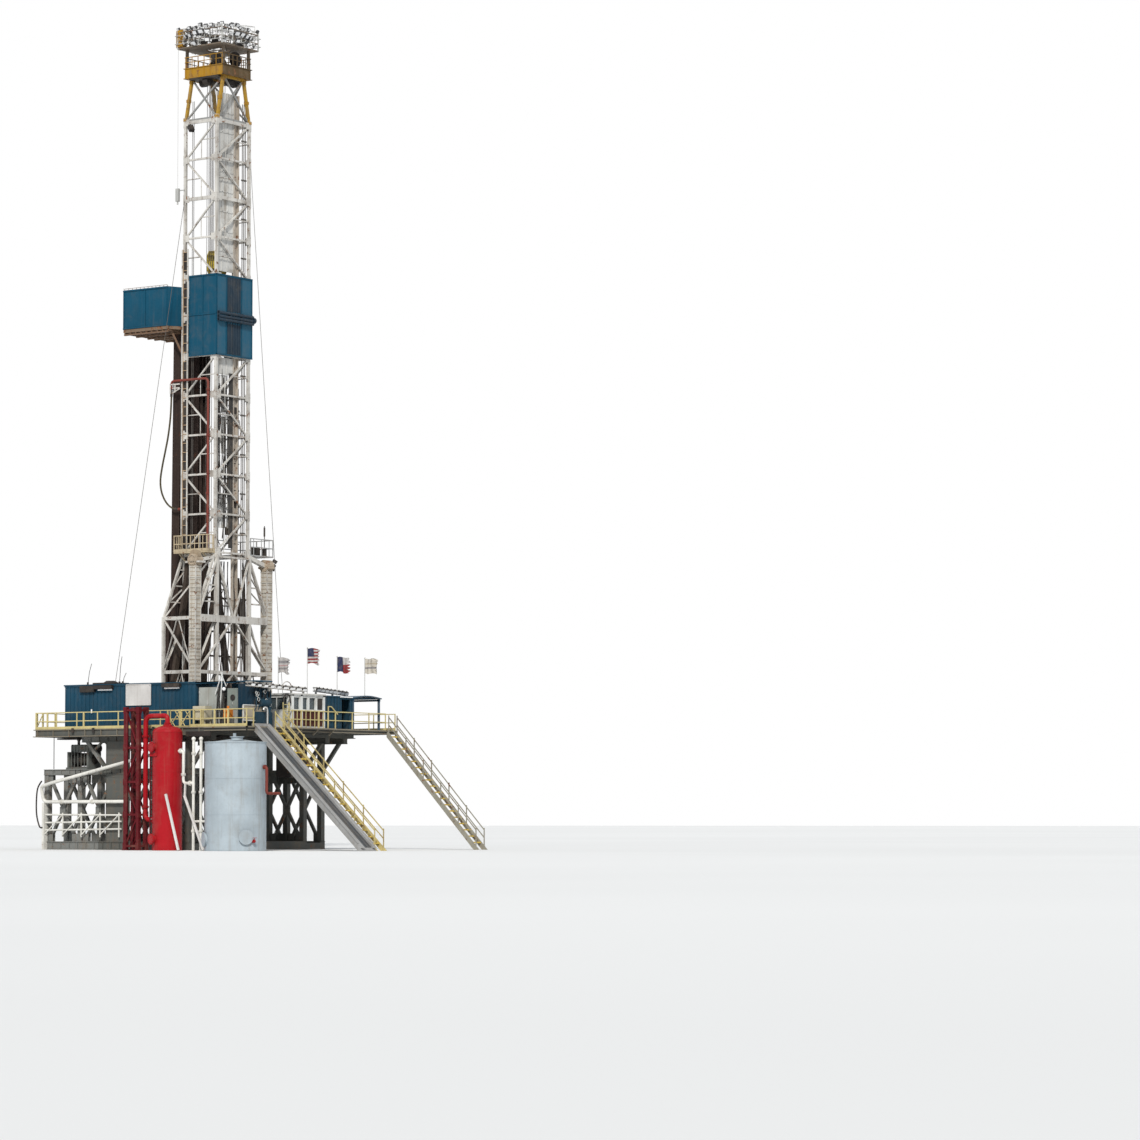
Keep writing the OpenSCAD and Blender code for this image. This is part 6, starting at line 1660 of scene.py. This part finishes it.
def make_block_details():
    b = Mesh("block_fittings", "block_paint", body="hoist")
    z0 = 18.85
    for s in (-1, 1):
        x = s * 0.17
        b.round_x(x - s * 0.01, x + s * 0.035, 0, 19.42, 0.20, 26)
        b.round_x(x + s * 0.035, x + s * 0.05, 0, 19.42, 0.11, 6)
        for a in turns(8):
            y, z = 0.077 * cos(a), 19.42 + 0.077 * sin(a)
            b.round_x(x, x + s * 0.045, y, z, 0.022, 6)
        for y, z in ((-0.23, 19.12), (0.23, 19.12), (-0.23, 19.50), (0.23, 19.50), (-0.12, 19.64),
                     (0.12, 19.64), (-0.1, 18.9), (0.1, 18.9)):
            b.round_x(x - s * 0.02, x + s * 0.02, y, z, 0.04, 6)
        for y in (-0.13, 0.13):
            b.post(x + s * 0.006, y, 18.98, 19.60, 0.012, 0.03)
        b.beam_y(x + s * 0.006, -0.13, 0.13, 19.05, 0.012, 0.03)
    for y, z in ((-0.262, 19.10), (0.262, 19.10), (0, 19.69), (-0.14, 19.685), (0.14, 19.685), (-0.17, 18.9),
                 (0.17, 18.9)):
        b.round_x(-0.13, 0.13, y, z, 0.03, 12)
    for y in (-0.268, 0.268):
        b.block((-0.12, y - 0.006, 19.10), (0.12, y + 0.006, 19.34))
    b.make(0.003)
    d = Mesh("drive_fittings", "drive_paint", body="hoist")
    w = 0.26
    for z in (17.60, 17.85, 18.20, 18.55):
        for a, c in (((-w - 0.012, -w - 0.012, z), (w + 0.012, -w, z + 0.03)),
                     ((-w - 0.012, w, z), (w + 0.012, w + 0.012, z + 0.03)),
                     ((-w - 0.012, -w, z), (-w, w, z + 0.03)), ((w, -w, z), (w + 0.012, w, z + 0.03))):
            d.block(a, c)
    for y in (-0.13, 0.13):
        d.round_z(0.16, y, 18.56, 18.72, 0.15, 22)
        d.round_z(0.16, y, 18.72, 18.75, 0.11, 22)
        d.round_z(-0.17, y, 18.58, 18.64, 0.13, 22)
        for z in (17.9, 18.0, 18.1):
            d.block((w, y - 0.08, z), (w + 0.008, y + 0.08, z + 0.03))
    for s in (-1, 1):
        d.round_y(0, s * 0.11 - 0.045, s * 0.11 + 0.045, 18.81, 0.12, 18)
        d.round_y(0, s * 0.11 - 0.045, s * 0.11 + 0.045, 18.62, 0.12, 18)
        d.tube([(0, s * 0.20, 17.58), (0, s * 0.16, 17.2), (0, s * 0.12, 16.98)], 0.05, 12)
        d.block((-0.06, s * 0.20 - 0.05, 17.50), (0.06, s * 0.20 + 0.05, 17.60))
    d.round_z(0, 0, 17.22, 17.30, 0.44, 28)
    d.round_z(0, 0, 16.93, 17.03, 0.22, 24)
    for a in turns(10):
        d.round_z(0.19 * cos(a), 0.19 * sin(a), 17.20, 17.33, 0.025, 6)
    d.make(0.003)
    h = Mesh("drive_hoses", "service_rubber", body="hoist")
    for y in (-0.2, -0.05, 0.08):
        h.curve([(-0.2, y, 18.55), (-0.225, y, 18.68), (-0.28, y, 18.66), (-0.285, y, 18.45),
                 (-0.285, y, 18.05), (-0.27, y, 17.8), (-0.2, y, 17.72)], 6, 0.026, 10)
    h.make()


def make_cloth(name, x0, z0, base, bands, canton=None):
    """Cloth colour by place on the flag: bands of its height, and a canton by the pole."""
    n = Nodes(name)
    sep = n.t.nodes.new("ShaderNodeSeparateXYZ")
    n.link(n.coord, sep.inputs[0])
    u = n.math("DIVIDE", n.math("SUBTRACT", sep.outputs["X"], x0), 0.6)
    v = n.math("DIVIDE", n.math("SUBTRACT", sep.outputs["Z"], z0), 0.48)
    col = base

    def inside(f, a, b):
        return n.math("MULTIPLY", n.math("GREATER_THAN", f, a), n.math("LESS_THAN", f, b))

    for a, b, c in bands:
        col = n.mix(inside(v, a, b), col, c)
    if canton:
        ub, va, c = canton
        col = n.mix(n.math("MULTIPLY", n.math("LESS_THAN", u, ub), n.math("GREATER_THAN", v, va)), col, c)
    weave = n.noise(60.0, 3.0, 0.6)
    grime = n.noise(7.0, 5.0, 0.6)
    col = n.mix(n.ramp(grime, 0.42, 0.78, 0.0, 0.4), col, DIRT)
    col = n.mix(n.ramp(weave, 0.4, 0.7, 0.0, 0.18), col, (0.35, 0.33, 0.31))
    n.link(col, n.bsdf.inputs["Base Color"])
    n.link(n.ramp(weave, 0.3, 0.7, 0.75, 0.95), n.bsdf.inputs["Roughness"])
    n.bsdf.inputs["Specular IOR Level"].default_value = 0.1
    n.bump(weave, 0.3, 0.001)
    return n.mat


def make_flags():
    red, white, blue, grey = (0.26, 0.025, 0.03), (0.50, 0.48, 0.47), (0.018, 0.028, 0.085), (0.26, 0.25, 0.26)
    spots = ((4.510, -2.249, 2.260), (5.325, -1.79525, 2.550), (5.325, -0.2803, 2.330),
             (5.385, 1.0767, 2.330))
    looks = (
        (white, [(0.22, 0.34, grey), (0.44, 0.52, (0.45, 0.30, 0.30)), (0.62, 0.80, grey)], None),
        (white, [(k / 9, (k + 1) / 9, red) for k in range(0, 9, 2)], (0.42, 0.45, blue)),
        (white, [(-0.6, 0.48, red)], (0.34, -1.0, blue)),
        ((0.58, 0.54, 0.47), [(0.30, 0.42, grey), (0.60, 0.68, (0.46, 0.40, 0.30))], None),
    )
    out = []
    for f, ((px, py, top), look) in enumerate(zip(spots, looks)):
        r = random.Random(40 + f)
        x0, ztop = px + 0.0125, FLOOR_Z + top - 0.02
        nu, nv = 40, 26
        ph, amp, k = r.uniform(0, 6), r.uniform(0.036, 0.046), r.uniform(13, 16)
        verts, faces = [], []
        tear = [0.6 - abs(r.gauss(0, 0.035)) - 0.07 * (j % 5 == 0) for j in range(nv + 1)]
        for j in range(nv + 1):
            v = j / nv
            x, y = x0, py
            last = None
            for i in range(nu + 1):
                l = tear[j] * i / nu
                grow = min(1.0, l / 0.12)
                wave = grow * (amp * sin(k * l + ph + 1.6 * v) + 0.4 * amp * sin(2.3 * k * l - 2.2 * v + ph))
                if last is not None:
                    dl, dy = l - last[0], wave - last[1]
                    x += sqrt(max(dl * dl - dy * dy, (0.35 * dl) ** 2))
                last = (l, wave)
                sag = 0.06 * (l / 0.6) ** 1.5 + 0.028 * grow * sin(11 * l + ph)
                verts.append((WX + x, WY + py + wave, ztop - 0.48 * v - sag * (0.6 + 0.4 * v) ))
        w = nu + 1
        for j in range(nv):
            for i in range(nu):
                faces.append((j * w + i, j * w + i + 1, (j + 1) * w + i + 1, (j + 1) * w + i))
        me = bpy.data.meshes.new("flag_cloth_%d" % (f + 1))
        me.from_pydata(verts, [], faces)
        me.polygons.foreach_set("use_smooth", [True] * len(faces))
        me.update()
        o = bpy.data.objects.new(me.name, me)
        bpy.context.scene.collection.objects.link(o)
        me.materials.append(make_cloth("flag_mat_%d" % (f + 1), WX + x0, ztop - 0.48, *look))
        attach(o, "rig")
        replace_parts(o, "flags")
        ties = Mesh("flag_ties_%d" % (f + 1), "pole_metal")
        for z in (ztop - 0.01, ztop - 0.46):
            ties.ring((px, py, z), Z, 0.034, 0.008, 14, 6)
        ties.ball((px, py, FLOOR_Z + top), 0.022)
        out.append(ties)
    for t in out:
        t.make()


lines_piece, lines_top, lines_low = make_drilling_lines()
make_block_details()
make_flags()


# Stage and light
def make_stage():
    me = bpy.data.meshes.new("floor")
    s = 900.0
    me.from_pydata([(-s, -s, 0), (s, -s, 0), (s, s, 0), (-s, s, 0)], [], [(0, 1, 2, 3)])
    o = linked("floor", me)
    o.location.z = -0.002
    n = Nodes("floor_mat")
    n.set(Base_Color=n.mix(n.ramp(n.noise(0.02, 3.0), 0.3, 0.7), (0.80, 0.80, 0.79), (0.84, 0.84, 0.83)),
          Roughness=0.9, Specular_IOR_Level=0.1)
    me.materials.append(n.mat)


def background(t, colour, strength):
    node = t.nodes.new("ShaderNodeBackground")
    node.inputs["Color"].default_value = (*colour, 1)
    node.inputs["Strength"].default_value = strength
    return node.outputs[0]


def make_world():
    """Soft sky light on the rig, and plain white where the camera, glass or gloss sees the world itself."""
    w = bpy.data.worlds.new("world")
    bpy.context.scene.world = w
    w.use_nodes = True
    t = w.node_tree
    t.nodes.clear()
    out = t.nodes.new("ShaderNodeOutputWorld")
    soft = background(t, (0.86, 0.92, 1.0), 0.55)
    seen = background(t, (1, 1, 1), 1.0)
    path = t.nodes.new("ShaderNodeLightPath")
    ray = path.outputs["Is Camera Ray"]
    for kind in ("Is Transmission Ray", "Is Glossy Ray"):
        either = t.nodes.new("ShaderNodeMath")
        either.operation = "MAXIMUM"
        t.links.new(ray, either.inputs[0])
        t.links.new(path.outputs[kind], either.inputs[1])
        ray = either.outputs[0]
    mix = t.nodes.new("ShaderNodeMixShader")
    for i, source in enumerate((ray, soft, seen)):
        t.links.new(source, mix.inputs[i])
    t.links.new(mix.outputs[0], out.inputs["Surface"])


def make_sun():
    key = bpy.data.lights.new("key", "SUN")
    key.energy, key.angle, key.color = 2.8, 0.12, (1.0, 0.97, 0.92)
    linked("key", key).rotation_euler = Vector((-0.42, 0.66, -0.62)).to_track_quat("-Z", "Y").to_euler()
    bpy.context.scene.view_settings.view_transform = "Standard"


make_stage()
make_world()
make_sun()
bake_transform(lines_piece)
